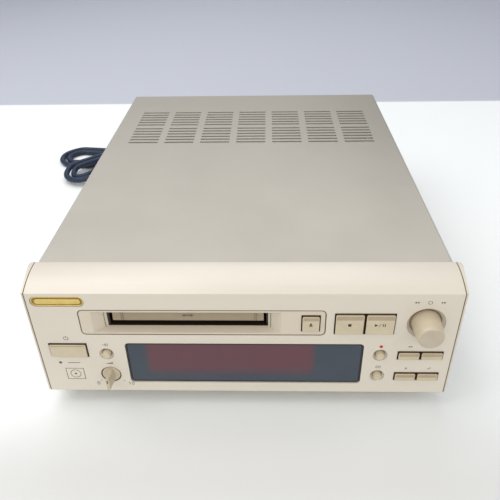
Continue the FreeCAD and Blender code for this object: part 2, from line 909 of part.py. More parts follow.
def button_places():
    """Each square button's name, centre, width and height."""
    gap = "2 * button_gap"
    pair = "pair_wide / 2 - " + gap
    return {
        "power_button": ("power_x", "power_z", "power_wide - " + gap, "power_tall", "fascia_wall"),
        "eject_button": ("eject_x", "eject_z", "eject_wide - " + gap, "eject_tall", "bezel_plate"),
        "stop_button": ("transport_x - transport_half", "transport_z", "transport_wide / 2 - " + gap,
                        "transport_tall", "fascia_wall"),
        "play_button": ("transport_x + transport_half", "transport_z", "transport_wide / 2 - " + gap,
                        "transport_tall", "fascia_wall"),
        "rewind_button": ("skip_x - button_half", "skip_z", pair, "pair_tall", "fascia_wall"),
        "forward_button": ("skip_x + button_half", "skip_z", pair, "pair_tall", "fascia_wall"),
        "edit_button": ("edit_x - button_half", "edit_z", pair, "pair_tall", "fascia_wall"),
        "confirm_button": ("edit_x + button_half", "edit_z", pair, "pair_tall", "fascia_wall"),
    }


def square_button(name, across, up, wide, tall, wall):
    """Key with a bevelled face, a flange behind the plate and a stem toward its switch."""
    body = make_body(name)
    cap_tall = "%s - 2 * button_gap" % tall
    back = "%s + joint_gap" % wall
    pad(body, "Y", "-button_proud", "button_proud + " + back, (rectangle, across, up, wide, cap_tall))
    ease(body, "Chamfer", "button_bevel", on_plane("y", "-button_proud"))
    flange = (rectangle, across, up, wide, "%s + 2 * flange_lap" % tall)
    pad(body, "Y", back, "flange_sheet", flange)
    if wall == "fascia_wall":
        stem_from_flange(body, across, up)
    return body


def stem_from_flange(body, across, up):
    """Square stem behind a key's flange; it meets its switch at the end of the travel."""
    back = "shoulder + flange_sheet"
    length = "switch_front - button_travel - joint_gap - (%s)" % back
    pad(body, "Y", back, length, (rectangle, across, up, "stem_wide", "stem_wide"))


def round_button(name, across, up):
    """Small round key with a square flange behind the plate."""
    body = make_body(name)
    flange = "2 * (round_radius + round_gap + flange_lap)"
    pad(body, "Y", "-round_proud", "round_proud + shoulder", (circle, across, up, "round_radius"))
    pad(body, "Y", "shoulder", "flange_sheet", (rectangle, across, up, flange, flange))
    stem_from_flange(body, across, up)
    return body


ROUND_BUTTONS = {"record_button": "record", "display_button": "display", "input_button": "input"}


def button_switches():
    """The small switches on the front board, one behind each key."""
    body = make_body("button_switches")
    centres = [place[:2] for place in button_places().values()]
    centres += [(name + "_x", name + "_z") for name in ROUND_BUTTONS.values()]
    shapes = [(rectangle, across, up, "switch_wide", "switch_wide") for across, up in centres]
    pad(body, "Y", "switch_front", "switch_deep", *shapes)
    return body


def standby_lamp():
    """Lamp lens in the front plate, with its body on the board."""
    body = make_body("standby_lamp")
    pad(body, "Y", "pin_play", "shoulder - pin_play", (circle, "lamp_x", "lamp_z", "lamp_radius"))
    case = "4 * lamp_radius"
    pad(body, "Y", "shoulder", "board_place - shoulder", (rectangle, "lamp_x", "lamp_z", case, case))
    return body


# Knobs

def jog_knob():
    """Tapered knob, bored from behind and pressed on its shaft."""
    body = make_body("jog_knob")
    points = [
        ("-jog_proud", "0"),
        ("-jog_proud", "jog_top - jog_edge"),
        ("jog_edge - jog_proud", "jog_top"),
        ("jog_seat", "jog_base"),
        ("jog_seat", "jog_shaft_radius"),
        ("-jog_shaft_reach", "jog_shaft_radius"),
        ("-jog_shaft_reach", "0"),
    ]
    revolve(body, "jog_x", "jog_z", points)
    return body


def jog_shaft():
    """Shaft that turns the rotor and slides through it when pushed."""
    body = make_body("jog_shaft")
    end = "housing_front + housing_wall + joint_gap"
    shaft = (circle, "jog_x", "jog_z", "jog_shaft_radius")
    pad(body, "Y", "-jog_shaft_reach", "jog_shaft_reach + " + end, shaft)
    pad(body, "Y", end, "jog_tip", (circle, "jog_x", "jog_z", "jog_tip_radius"))
    return body


def jog_rotor():
    """Slotted disc inside the control, turned by the shaft."""
    body = make_body("jog_rotor")
    start = "board_place - housing_wall - joint_gap - rotor_sheet"
    pad(body, "Y", start, "rotor_sheet", (circle, "jog_x", "jog_z", "rotor_radius"),
        (circle, "jog_x", "jog_z", "jog_tip_radius + shaft_play"))
    return body


def jog_housing():
    """Case of the rotary control on the front board."""
    body = make_body("jog_housing")
    case = (rectangle, "jog_x", "jog_z", "housing_wide", "housing_wide")
    pad(body, "Y", "housing_front", "housing_deep", case)
    bore = (circle, "jog_x", "jog_z", "jog_shaft_radius + shaft_play")
    pocket(body, "Y", "housing_front", "housing_wall", bore)
    room = (circle, "jog_x", "jog_z", "rotor_radius + joint_gap")
    pocket(body, "Y", "housing_front + housing_wall", "housing_deep - 2 * housing_wall", room)
    return body


def level_knob():
    """Round knob with a tapered finger grip across its face."""
    body = make_body("level_knob")
    back = "housing_front - joint_gap"
    pad(body, "Y", "0", back, (circle, "level_x", "level_z", "level_base"))
    grip = body.newObject("PartDesign::AdditiveLoft", "Grip")
    near = make_sketch(body, "Y", "0")
    far = make_sketch(body, "Y", "-level_proud")
    for sketch, less in ((near, "0"), (far, "2 * level_fin_edge")):
        wide = "level_fin_wide - " + less
        rectangle(sketch, "level_x", "level_z", wide, "level_fin_long - " + less)
    grip.Profile = near
    grip.Sections = [far]
    grip.Ruled = True
    shaft = (circle, "level_x", "level_z", "level_shaft_radius")
    pad(body, "Y", back, "level_shaft_reach", shaft)
    return body


def level_pot():
    """Case of the level control on the front board."""
    body = make_body("level_pot")
    pad(body, "Y", "housing_front", "housing_deep", (rectangle, "level_x", "level_z", "pot_wide", "pot_wide"))
    bore = (circle, "level_x", "level_z", "level_shaft_radius + shaft_play")
    pocket(body, "Y", "housing_front", "housing_deep - housing_wall", bore)
    return body


# Disc drive

def drive_bridge():
    """Folded bridge that stands on the pan and carries the drive."""
    body = make_body("drive_bridge")
    half = "deck_wide / 2"
    foot = "deck_foot"
    thin = "deck_sheet"
    floor = "pan_sheet"
    points = [
        ("slot_x - %s - %s" % (half, foot), floor),
        ("slot_x - %s + %s" % (half, thin), floor),
        ("slot_x - %s + %s" % (half, thin), "deck_top - " + thin),
        ("slot_x + %s - %s" % (half, thin), "deck_top - " + thin),
        ("slot_x + %s - %s" % (half, thin), floor),
        ("slot_x + %s + %s" % (half, foot), floor),
        ("slot_x + %s + %s" % (half, foot), "%s + %s" % (floor, thin)),
        ("slot_x + %s" % half, "%s + %s" % (floor, thin)),
        ("slot_x + %s" % half, "deck_top"),
        ("slot_x - %s" % half, "deck_top"),
        ("slot_x - %s" % half, "%s + %s" % (floor, thin)),
        ("slot_x - %s - %s" % (half, foot), "%s + %s" % (floor, thin)),
    ]
    pad(body, "Y", "deck_start", "deck_long", (outline, points))
    return body


def drive_dampers():
    """Rubber blocks between the bridge and the drive."""
    body = make_body("drive_dampers")
    places = [("slot_x %s (base_wide / 2 - damper_inset)" % side, place) for side in "-+"
              for place in ("base_start + damper_inset", "base_start + base_long - damper_inset")]
    shapes = [(rectangle, across, back, "damper_wide", "damper_wide") for across, back in places]
    pad(body, "Z", "deck_top", "damper_tall", *shapes)
    return body


def drive_base():
    """Die-cast base with guide walls for the holder and ribs for the pickup's rods."""
    body = make_body("drive_base")
    plate = (rectangle, "slot_x", "base_start + base_long / 2", "base_wide", "base_long")
    pad(body, "Z", "base_floor", "base_sheet", plate)
    middle = "guide_start + guide_long / 2"
    sides = ["slot_x %s (guide_face + guide_sheet / 2)" % side for side in "-+"]
    walls = [(rectangle, across, middle, "guide_sheet", "guide_long") for across in sides]
    pad(body, "Z", "base_top", "guide_top - base_top", *walls)
    span = "sled_wide / 2 + screw_x + rib_reach"
    centre = "slot_x + (screw_x + rib_reach - sled_wide / 2) / 2"
    ribs = [(rectangle, centre, place + " + rib_sheet / 2", span, "rib_sheet")
            for place in ("rib_near", "rib_far")]
    pad(body, "Z", "base_top", "rib_top - base_top", *ribs)
    window = (rectangle, "slot_x", "(rib_near + rib_far) / 2 + rib_sheet", "rod_apart - 2 * base_window_edge",
              "rib_far - rib_near - 4 * rib_sheet")
    pocket(body, "Z", "base_floor", "base_sheet", window)
    journal = (circle, "slot_x + screw_x", "rod_z", "journal_radius + shaft_play")
    pocket(body, "Y", "rib_near", "rib_far - rib_near + rib_sheet", journal)
    slots = [(rectangle, place, "cam_pin_z - holder_drop / 2", "2 * (cam_pin + joint_gap)",
              "holder_drop + 2 * (cam_pin + joint_gap)") for place in ("cam_pin_near", "cam_pin_far")]
    pocket(body, "X", "slot_x - guide_face - guide_sheet", "guide_sheet", *slots)
    return body


def disc_holder():
    """Folded carrier that takes the disc and lowers it on the spindle."""
    body = make_body("disc_holder")
    inner = "holder_inside / 2"
    thin = "holder_sheet"
    points = [
        ("slot_x - holder_half", "holder_floor - " + thin),
        ("slot_x - %s + holder_lip" % inner, "holder_floor - " + thin),
        ("slot_x - %s + holder_lip" % inner, "holder_floor"),
        ("slot_x - " + inner, "holder_floor"),
        ("slot_x - " + inner, "holder_roof"),
        ("slot_x + " + inner, "holder_roof"),
        ("slot_x + " + inner, "holder_floor"),
        ("slot_x + %s - holder_lip" % inner, "holder_floor"),
        ("slot_x + %s - holder_lip" % inner, "holder_floor - " + thin),
        ("slot_x + holder_half", "holder_floor - " + thin),
        ("slot_x + holder_half", "holder_roof + " + thin),
        ("slot_x - holder_half", "holder_roof + " + thin),
    ]
    pad(body, "Y", "holder_start", "holder_long", (outline, points))
    pins = [(circle, place, "cam_pin_z", "cam_pin") for place in ("cam_pin_near", "cam_pin_far")]
    reach = "cam_face + cam_sheet - (holder_inside + holder_sheet) / 2"
    pad(body, "X", "slot_x - cam_face - cam_sheet", reach, *pins)
    return body


def cam_slider():
    """Plate beside the drive whose sloping slots lower the holder's pins."""
    body = make_body("cam_slider")
    low = "base_top + joint_gap"
    middle = "(%s + guide_top) / 2" % low
    plate = (rectangle, "cam_start + cam_long / 2", middle, "cam_long", "guide_top - (%s)" % low)
    pad(body, "X", "slot_x - cam_face - cam_sheet", "cam_sheet", plate)
    for place in ("cam_pin_near", "cam_pin_far"):
        rest = place + " - cam_travel"
        points = [
            ("%s - cam_pin" % rest, "cam_pin_z - holder_drop - cam_room"),
            ("%s + cam_pin" % rest, "cam_pin_z - holder_drop - cam_room"),
            ("%s + cam_pin + joint_gap" % place, "cam_pin_z - cam_room + cam_cut * cam_pin"),
            ("%s + cam_pin + joint_gap" % place, "cam_pin_z + cam_room"),
            ("%s - cam_pin" % place, "cam_pin_z + cam_room"),
            ("%s - cam_pin - joint_gap" % rest, "cam_pin_z - holder_drop + cam_room - cam_cut * cam_pin"),
        ]
        pocket(body, "X", "slot_x - cam_face - cam_sheet", "cam_sheet", (outline, points))
    return body


def spindle_motor():
    """Flat motor under the disc, with the spindle's bearing."""
    body = make_body("spindle_motor")
    pad(body, "Z", "base_top", "spindle_can_tall", (circle, "slot_x", "spindle_y", "spindle_can"),
        (circle, "slot_x", "spindle_y", "spindle_radius + shaft_play"))
    return body


def spindle_table():
    """Turntable that drives the disc's hub."""
    body = make_body("spindle_table")
    low = "base_top + joint_gap"
    top = "base_top + spindle_can_tall + joint_gap"
    pad(body, "Z", low, "%s - (%s)" % (top, low), (circle, "slot_x", "spindle_y", "spindle_radius"))
    pad(body, "Z", top, "table_sheet", (circle, "slot_x", "spindle_y", "table_radius"))
    return body


def guide_rods():
    """Two polished rods that the pickup slides on."""
    body = make_body("guide_rods")
    rods = [(circle, "slot_x %s rod_apart / 2" % side, "rod_z", "rod_radius") for side in "-+"]
    pad(body, "Y", "rib_near + rib_sheet", "rib_far - rib_near - rib_sheet", *rods)
    return body


def pickup_sled():
    """Optical pickup on its rods, with a half nut round the screw."""
    body = make_body("pickup_sled")
    start = "rib_near + rib_sheet + joint_gap"
    low = "base_top + 2 * joint_gap"
    middle = "%s + sled_tall / 2" % low
    arm = "screw_x + screw_radius + nut_wall"
    centre = "slot_x + (%s - sled_wide / 2) / 2" % arm
    block = (rectangle, centre, middle, "%s + sled_wide / 2" % arm, "sled_tall")
    pad(body, "Y", start, "sled_long", block)
    bores = [(circle, "slot_x %s rod_apart / 2" % side, "rod_z", "rod_radius + shaft_play") for side in "-+"]
    bores.append((circle, "slot_x + screw_x", "rod_z", "screw_radius + shaft_play"))
    pocket(body, "Y", start, "sled_long", *bores)
    lens = (circle, "slot_x", start + " + lens_inset", "lens_radius")
    pad(body, "Z", low + " + sled_tall", "lens_tall", lens)
    return body


def lead_screw():
    """Screw that drives the sled, with a journal at each end."""
    body = make_body("lead_screw")
    start = "rib_near + rib_sheet + joint_gap"
    end = "rib_far - joint_gap"
    across = "slot_x + screw_x"
    pad(body, "Y", start, "%s - (%s)" % (end, start), (circle, across, "rod_z", "screw_radius"))
    pad(body, "Y", "rib_near + joint_gap", "rib_sheet", (circle, across, "rod_z", "journal_radius"))
    pad(body, "Y", end, "joint_gap + rib_sheet + journal_reach", (circle, across, "rod_z", "journal_radius"))
    return body


def sled_motor():
    """Small motor on the end of the screw."""
    body = make_body("sled_motor")
    start = "rib_far + rib_sheet"
    across = "slot_x + screw_x"
    pad(body, "Y", start, "sled_motor_long", (circle, across, "rod_z", "sled_motor_radius"))
    pocket(body, "Y", start, "journal_room", (circle, across, "rod_z", "journal_radius + shaft_play"))
    return body


def loading_motor():
    """Motor that drives the loading cam."""
    body = make_body("loading_motor")
    back = "base_start + base_long"
    can = (rectangle, "slot_x - guide_face - guide_sheet", "%s - loading_motor_long / 2" % back,
           "loading_motor_wide", "loading_motor_long")
    pad(body, "Z", "base_top", "loading_motor_wide", can)
    return body


# Power supply and boards

def transformer_core():
    """Laminated core with two windows."""
    body = make_body("transformer_core")
    middle = "pan_sheet + core_tall / 2"
    tall = "core_tall - 2 * core_window"
    offset = "core_window * 1.5"
    pad(body, "Y", "core_y - core_deep / 2", "core_deep",
        (rectangle, "core_x", middle, "core_wide", "core_tall"),
        (rectangle, "core_x - " + offset, middle, "core_window", tall),
        (rectangle, "core_x + " + offset, middle, "core_window", tall))
    return body


def transformer_coil():
    """Winding round the core's middle leg."""
    body = make_body("transformer_coil")
    low = "pan_sheet + core_window + coil_gap"
    tall = "core_tall - 2 * core_window - 2 * coil_gap"
    pad(body, "Z", low, tall,
        (rectangle, "core_x", "core_y", "4 * core_window - 2 * coil_gap", "core_deep + 2 * coil_overhang"),
        (rectangle, "core_x", "core_y", "2 * core_window", "core_deep"))
    return body


def cabinet_board(name):
    """A circuit board with the four posts that hold it over the pan."""
    body = make_body(name + "_board")
    posts = [(rectangle, across, back, "post_wide", "post_wide") for across, back in board_posts(name)]
    pad(body, "Z", "pan_sheet", "post_tall", *posts)
    shape = (rectangle, name + "_x", name + "_y", name + "_wide", name + "_long")
    pad(body, "Z", "pan_sheet + post_tall", "board_sheet", shape)
    return body


def board_parts():
    """Capacitors and chips on the two boards."""
    body = make_body("board_parts")
    cans = [("supply_x %s can_pitch / 2" % side, "supply_y - can_back") for side in "-+"]
    cans.append(("main_x + main_can_x", "main_y - main_can_back"))
    pad(body, "Z", "board_top", "can_tall", *[(circle, across, back, "can_radius") for across, back in cans])
    row = ["main_x - box_start + %d * box_pitch" % step for step in range(5)]
    boxes = [(rectangle, across, "main_y + box_row", "box_wide", "box_wide") for across in row]
    pad(body, "Z", "board_top", "box_tall", *boxes)
    places = ["main_x - chip_start + %d * chip_pitch" % step for step in range(2)]
    chips = [(rectangle, across, "main_y - chip_back", "chip_wide", "chip_wide") for across in places]
    pad(body, "Z", "board_top", "chip_tall", *chips)
    return body


# Rear sockets

def audio_jacks():
    """Block of four phono sockets, set in the rear panel."""
    body = make_body("audio_jacks")
    start = "rear - panel_sheet - jack_block_deep"
    block = (rectangle, "jack_x", "jack_z", "jack_block", "jack_block")
    pad(body, "Y", start, "jack_block_deep + panel_sheet", block)
    places = jack_places()
    barrels = [(circle, across, up, "jack_radius") for across, up in places]
    pad(body, "Y", "rear", "jack_proud", *barrels)
    bores = [(circle, across, up, "jack_bore") for across, up in places]
    pocket(body, "Y", "rear - jack_block_deep / 2", "jack_proud + jack_block_deep / 2", *bores)
    return body


def optical_sockets():
    """Two square optical sockets."""
    body = make_body("optical_sockets")
    start = "rear - panel_sheet - optic_deep"
    frames = [(rectangle, across, "jack_z", "optic_wide", "optic_wide") for across in optic_places()]
    pad(body, "Y", start, "optic_deep + panel_sheet + optic_proud", *frames)
    bores = [(rectangle, across, "jack_z", "optic_bore", "optic_bore") for across in optic_places()]
    pocket(body, "Y", "rear + optic_proud - optic_bore_deep", "optic_bore_deep", *bores)
    legs = [(rectangle, across, "rear - panel_sheet - optic_deep / 2", "optic_wide", "optic_deep")
            for across in optic_places()]
    pad(body, "Z", "board_top", "jack_z - optic_wide / 2 - board_top", *legs)
    return body


# Feet

def feet():
    """Four round feet."""
    body = make_body("feet")
    rounds = [(circle, across, back, "foot_radius") for across, back in foot_places()]
    pad(body, "Z", "-foot_height", "foot_height", *rounds)
    return body


# Mains lead: a gland, a free lead, a tied hank, a tail and a plug

def biarc(start, out, end, arrive):
    """Two arcs that leave `start` along `out` and reach `end` along `arrive`."""
    chord = end - start
    both = out + arrive
    open_turn = 2 * (1 - out.dot(arrive))
    if open_turn < 1e-9:
        reach = chord.dot(chord) / (2 * chord.dot(both))
    else:
        along_both = chord.dot(both)
        reach = (math.sqrt(along_both ** 2 + open_turn * chord.dot(chord)) - along_both) / open_turn
    middle = (start + out * reach + end - arrive * reach) / 2
    return [tangent_arc(start, out, middle), tangent_arc(end, -arrive, middle, back=True)]


def tangent_arc(start, out, end, back=False):
    """The arc from `start` along `out` to `end`, or a line where they are in line."""
    chord = end - start
    toward = Vector(chord).normalize()
    slant = out.dot(toward)
    aside = out - toward * slant
    if aside.Length < 1e-6:
        return Part.LineSegment(end, start) if back else Part.LineSegment(start, end)
    bulge = chord.Length / 2 * math.tan(math.acos(max(-1.0, min(1.0, slant))) / 2)
    top = start + chord / 2 + aside.normalize() * bulge
    return Part.Arc(end, top, start) if back else Part.Arc(start, top, end)


def hank_nodes():
    """The hank's points with their directions: loops that spiral in, climb and spiral out."""
    pitch = worth("cord_thick + cord_gap")
    floor = worth("cord_thick / 2 + cord_clear - foot_height")
    waist_lift = worth("tie_sheet + joint_gap")
    right = Vector(worth("hank_right_x"), worth("hank_y"), 0)
    far = Vector(worth("hank_left_x"), worth("hank_y"), 0)
    near = Vector(worth("fan_x"), worth("fan_y"), 0)
    waist = Vector(worth("waist_x"), worth("waist_y"), 0)
    fan_lifts = {2: worth("fan_lift"), 3: worth("fan_tip_lift"), 4: worth("fan_lift")}
    ahead = Vector(-1, 0, 0)
    aside = Vector(0, 1, 0)
    turn_back = 8 * int(worth("hank_loops"))
    nodes = []
    for step in range(2 * turn_back - 1):
        inward = step <= turn_back
        wound = step / 8 if inward else (2 * turn_back - step) / 8
        radius = worth("hank_radius") - pitch * wound
        width = worth("waist_half") - pitch * wound
        corner = step % 8
        lift = 0 if step < turn_back else pitch
        if step == turn_back - 1:
            lift = pitch / 2
        if not inward:
            lift = fan_lifts.get(corner, pitch)
        if corner in (1, 5):
            lift += waist_lift
        left = far if inward else near
        lean = (left - waist).normalize()
        square = Vector(lean.y, -lean.x, 0) * math.copysign(1, -lean.x)
        mean = (lean + ahead).normalize()
        across = Vector(-mean.y, mean.x, 0) * math.copysign(1, mean.x)
        place, heading = {
            0: (right + aside * radius, ahead),
            1: (waist + across * width, mean),
            2: (left + square * radius, lean),
            3: (left + lean * radius, -square),
            4: (left - square * radius, -lean),
            5: (waist - across * width, -mean),
            6: (right - aside * radius, -ahead),
            7: (right - ahead * radius, aside),
        }[corner]
        nodes.append((Vector(place.x, place.y, floor + lift), heading))
    return nodes


def smooth_route(points):
    """Straight runs joined by the largest tangent arcs that their corners allow."""
    edges = []
    begin = points[0]
    radii = []
    for before, corner, after in zip(points, points[1:], points[2:]):
        come = (corner - before).normalize()
        leave = (after - corner).normalize()
        half = come.getAngle(leave) / 2
        cut = 0.45 * min((corner - before).Length, (after - corner).Length)
        radii.append(cut / math.tan(half))
        first = corner - come * cut
        last = corner + leave * cut
        edges.append(Part.LineSegment(begin, first))
        edges.append(tangent_arc(first, come, last))
        begin = last
    edges.append(Part.LineSegment(begin, points[-1]))
    print("radii of a free stretch:", ["%.0f" % radius for radius in radii])
    return edges


def cord_section(place, heading):
    """The cord's faceted section, square to its route."""
    across = heading.cross(Vector(0, 0, 1)).normalize()
    over = across.cross(heading).normalize()
    sides = int(worth("cord_sides"))
    radius = worth("cord_thick") / 2
    corners = []
    for number in range(sides + 1):
        angle = 2 * math.pi * (number + 0.5) / sides
        corners.append(place + across * (radius * math.cos(angle)) + over * (radius * math.sin(angle)))
    return Part.makePolygon(corners)


def cord_tube(name, edges):
    """A cord's solid along arcs and lines, checked against its section times its length."""
    wire = Part.Wire([edge.toShape() for edge in edges])
    first = edges[0]
    heading = first.tangent(first.FirstParameter)[0]
    section = cord_section(first.StartPoint, heading)
    solid = wire.makePipeShell([section], True, False)
    area = Part.Face(section).Area
    print("%s: %.0f mm long, volume %.3f of section times length"
          % (name, wire.Length, solid.Volume / (area * wire.Length)))
    part = DOC.addObject("Part::Feature", name)
    part.Label = name
    part.Shape = solid
    part.Placement = FreeCAD.Placement(Vector(0, worth("face_y"), worth("foot_height")), FreeCAD.Rotation())
    return part


def least_gap(edges, thick):
    """The least clear distance of a wound route to itself, measured on points."""
    marks = []
    travelled = 0.0
    for edge in edges:
        length = edge.toShape().Length
        count = max(2, int(length / 1.5))
        for place in edge.toShape().discretize(count + 1)[:-1]:
            marks.append((travelled, place))
            travelled += length / count
    least = min((first[1] - second[1]).Length
                for number, first in enumerate(marks) for second in marks[number + 1:]
                if second[0] - first[0] > 6 * thick)
    return least - thick


def cord_gland():
    """Strain relief in the rear panel: a neck, a flange and a sleeve."""
    body = make_body("cord_gland")
    inner = "rear - panel_sheet"
    pad(body, "Y", inner, "panel_sheet", (circle, "gland_x", "gland_z", "gland_neck"))
    pad(body, "Y", "rear", "gland_flange_deep", (circle, "gland_x", "gland_z", "gland_flange"))
    sleeve = (circle, "gland_x", "gland_z", "gland_sleeve")
    pad(body, "Y", "rear + gland_flange_deep", "gland_long - gland_flange_deep", sleeve)
    return body


# The free lead's corners after the gland, as steps from the gland's end: across, back, up
LEAD_STEPS = [
    (0, 15.3, -0.5),
    (12, 26.3, -2.0),
    (42, 16.3, -7.0),
    (68.3, 10.3, -20.6),
    (80, 22.0, -21.4),
    (80, 38.6, -21.4),
    (68.3, 50.3, -21.4),
    (51, 48.3, -21.4),
]
# The free tail's corners, as steps from the hank's end
TAIL_STEPS = [(12, 0, -0.8), (28, -2, -5.6), (46, -2, -4.0), (60, -2, -1.8)]


def lead_points():
    """The free lead, over the hank, round its right end and into its outer loop."""
    start = Vector(worth("gland_x"), worth("rear + gland_long"), worth("gland_z"))
    end, heading = hank_nodes()[0]
    return [start] + [start + Vector(*step) for step in LEAD_STEPS] + [end - heading * worth("lead_run"), end]


def tail_points():
    """The free tail from the hank to the plug."""
    start = hank_nodes()[-1][0]
    end = Vector(worth("plug_x"), worth("plug_y"), worth("plug_z"))
    return [start] + [start + Vector(*step) for step in TAIL_STEPS] + [end]


def cord():
    """The lead, the hank and the tail of the cord."""
    thick = worth("cord_thick")
    lead = cord_tube("cord_lead", smooth_route(lead_points()))
    nodes = hank_nodes()
    edges = []
    for (start, out), (end, arrive) in zip(nodes, nodes[1:]):
        edges += biarc(start, out, end, arrive)
    hank = cord_tube("cord_hank", edges)
    print("least gap of the hank to itself: %.2f mm" % least_gap(edges, thick))
    tail = cord_tube("cord_tail", smooth_route(tail_points()))
    return [lead, hank, tail]


def cord_tie():
    """Band round the hank's waist."""
    body = make_body("cord_tie")
    wide = "2 * tie_half"
    low = "cord_clear - foot_height"
    tall = "2 * cord_thick + cord_gap + 2 * joint_gap"
    middle = "%s + tie_sheet + (%s) / 2" % (low, tall)
    pad(body, "X", "waist_x - tie_wide / 2", "tie_wide",
        (rectangle, "waist_y", middle, wide + " + 2 * tie_sheet", tall + " + 2 * tie_sheet"),
        (rectangle, "waist_y", middle, wide, tall))
    return body


def cord_plug():
    """Two-pin plug: a tapered grip, a neck and two flat blades."""
    body = make_body("cord_plug")
    pad(body, "X", "plug_x", "plug_neck", (circle, "plug_y", "plug_z", "plug_neck_radius"))
    start = "plug_x + plug_neck"
    pad(body, "X", start, "plug_long", (rectangle, "plug_y", "plug_z", "plug_wide", "plug_tall"))
    ease(body, "Fillet", "plug_corner", along("x", start, start + " + plug_long"))
    blades = [(rectangle, "plug_y %s plug_pitch / 2" % side, "plug_z", "blade_sheet", "blade_wide")
              for side in "-+"]
    pad(body, "X", start + " + plug_long", "blade_long", *blades)
    return body


# The sub-parts, in the order that they are put together

def build_all():
    """Every sub-part of the deck."""
    parts = [bottom_pan(), rear_panel(), top_cover(), fascia()]
    parts += [end_cap("end_cap_left", -1), end_cap("end_cap_right", 1)]
    parts += [loading_bezel(), slot_flap(), flap_pin(), name_plate(), display_window(), display_tube()]
    parts += [front_board(), button_switches(), standby_lamp()]
    for name, (across, up, wide, tall, wall) in button_places().items():
        parts.append(square_button(name, across, up, wide, tall, wall))
    for name, place in ROUND_BUTTONS.items():
        parts.append(round_button(name, place + "_x", place + "_z"))
    parts += [jog_knob(), jog_shaft(), jog_rotor(), jog_housing(), level_knob(), level_pot()]
    parts += [drive_bridge(), drive_dampers(), drive_base(), disc_holder(), cam_slider()]
    parts += [spindle_motor(), spindle_table(), guide_rods(), pickup_sled()]
    parts += [lead_screw(), sled_motor(), loading_motor(), transformer_core(), transformer_coil()]
    parts += [cabinet_board("supply"), cabinet_board("main"), board_parts()]
    parts += [audio_jacks(), optical_sockets(), feet()]
    parts += cord()
    parts += [cord_gland(), cord_tie(), cord_plug()]
    return parts


def check(parts):
    """Stop if a feature failed, a cut removed nothing or a sub-part isn't a whole solid."""
    for item in DOC.Objects:
        if "Invalid" in item.State or "Error" in item.State:
            raise RuntimeError("%s of %s failed" % (item.Name, [owner.Name for owner in item.InList]))
        if item.TypeId in ("PartDesign::Pocket", "PartDesign::Groove", "PartDesign::SubtractiveLoft"):
            if item.Shape.Volume > item.BaseFeature.Shape.Volume - 1e-6:
                raise RuntimeError("%s cut nothing" % item.Name)
    for part in parts:
        if part.Shape.isNull() or not part.Shape.isValid() or not part.Shape.Solids:
            raise RuntimeError("%s is not a valid solid" % part.Label)


def write(parts):
    """Write each sub-part to its own file."""
    os.makedirs("parts", exist_ok=True)
    for part in parts:
        part.Shape.exportStep("parts/%s.step" % part.Label)


PARTS = build_all()
DOC.recompute()
check(PARTS)
write(PARTS)
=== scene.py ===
"""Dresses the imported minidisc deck: champagne front, slotted cover, keys, knobs and mains lead."""

import logging
import math
from dataclasses import dataclass
from enum import Enum
from typing import Optional, Sequence

import bmesh
import bpy
from mathutils import Matrix, Vector

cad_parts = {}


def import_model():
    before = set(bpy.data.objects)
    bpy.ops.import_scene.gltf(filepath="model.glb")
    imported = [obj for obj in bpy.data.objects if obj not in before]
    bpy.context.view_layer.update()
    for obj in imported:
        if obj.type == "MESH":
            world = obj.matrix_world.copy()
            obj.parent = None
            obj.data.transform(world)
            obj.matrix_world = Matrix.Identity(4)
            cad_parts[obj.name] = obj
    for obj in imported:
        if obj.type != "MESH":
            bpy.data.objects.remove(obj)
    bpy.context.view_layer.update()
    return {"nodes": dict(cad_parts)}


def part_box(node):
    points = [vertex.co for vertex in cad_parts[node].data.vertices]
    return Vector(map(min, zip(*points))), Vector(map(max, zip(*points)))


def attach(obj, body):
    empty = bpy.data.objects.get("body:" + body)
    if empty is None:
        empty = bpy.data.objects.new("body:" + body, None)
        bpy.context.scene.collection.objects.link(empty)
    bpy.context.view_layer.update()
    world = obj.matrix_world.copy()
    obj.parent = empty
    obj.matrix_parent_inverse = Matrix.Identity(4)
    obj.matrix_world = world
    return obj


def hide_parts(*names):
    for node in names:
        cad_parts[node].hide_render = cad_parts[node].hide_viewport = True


LOG = logging.getLogger("deck")
MM = 0.001
TINY = 0.01
Point2 = tuple[float, float]


# Frame of the front plate

@dataclass(frozen=True)
class Seat:
    """Where a node sits in the front frame, in millimetres."""

    across: float
    up: float
    wide: float
    tall: float
    front: float
    back: float


class FrontFrame:
    """Turns millimetres from the front plate's lower middle into the row frame."""

    def __init__(self) -> None:
        """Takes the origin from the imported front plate."""
        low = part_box("fascia")[0]
        self.origin = Vector((0.0, low.y, low.z))

    def at(self, across: float, back: float, up: float) -> Vector:
        """A point of the front frame.

        Args:
            across: millimetres to the right of the middle.
            back: millimetres behind the front plate's face.
            up: millimetres over the front plate's lower edge.

        Returns:
            The point in the row frame, in metres.
        """
        return self.origin + Vector((across, back, up)) * MM

    def outline(self, shape: Sequence[Point2], across: float, back: float, up: float) -> list[Vector]:
        """An outline that faces the room.

        Args:
            shape: the outline about its centre.
            across: the centre's place.
            back: the depth that it lies at.
            up: the centre's height.

        Returns:
            Its points in the row frame, in metres.
        """
        return [self.at(across + x, back, up + z) for x, z in shape]

    def seat(self, node: str) -> Seat:
        """Where a node sits.

        Args:
            node: the node's name.

        Returns:
            Its middle, size and depths.
        """
        low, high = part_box(node)
        near, far = (low - self.origin) / MM, (high - self.origin) / MM
        return Seat((near.x + far.x) / 2, (near.z + far.z) / 2, far.x - near.x, far.z - near.z, near.y, far.y)


# Colours and node trees

def linear(code: str) -> tuple[float, float, float, float]:
    """Turns an sRGB hex code into the linear colour that shaders take.

    Args:
        code: six hex digits, with or without a leading hash.

    Returns:
        Red, green, blue and an alpha of one.
    """
    digits = code.lstrip("#")
    parts = [int(digits[place:place + 2], 16) / 255 for place in (0, 2, 4)]
    red, green, blue = (
        value / 12.92 if value <= 0.04045 else ((value + 0.055) / 1.055) ** 2.4 for value in parts
    )
    return red, green, blue, 1.0


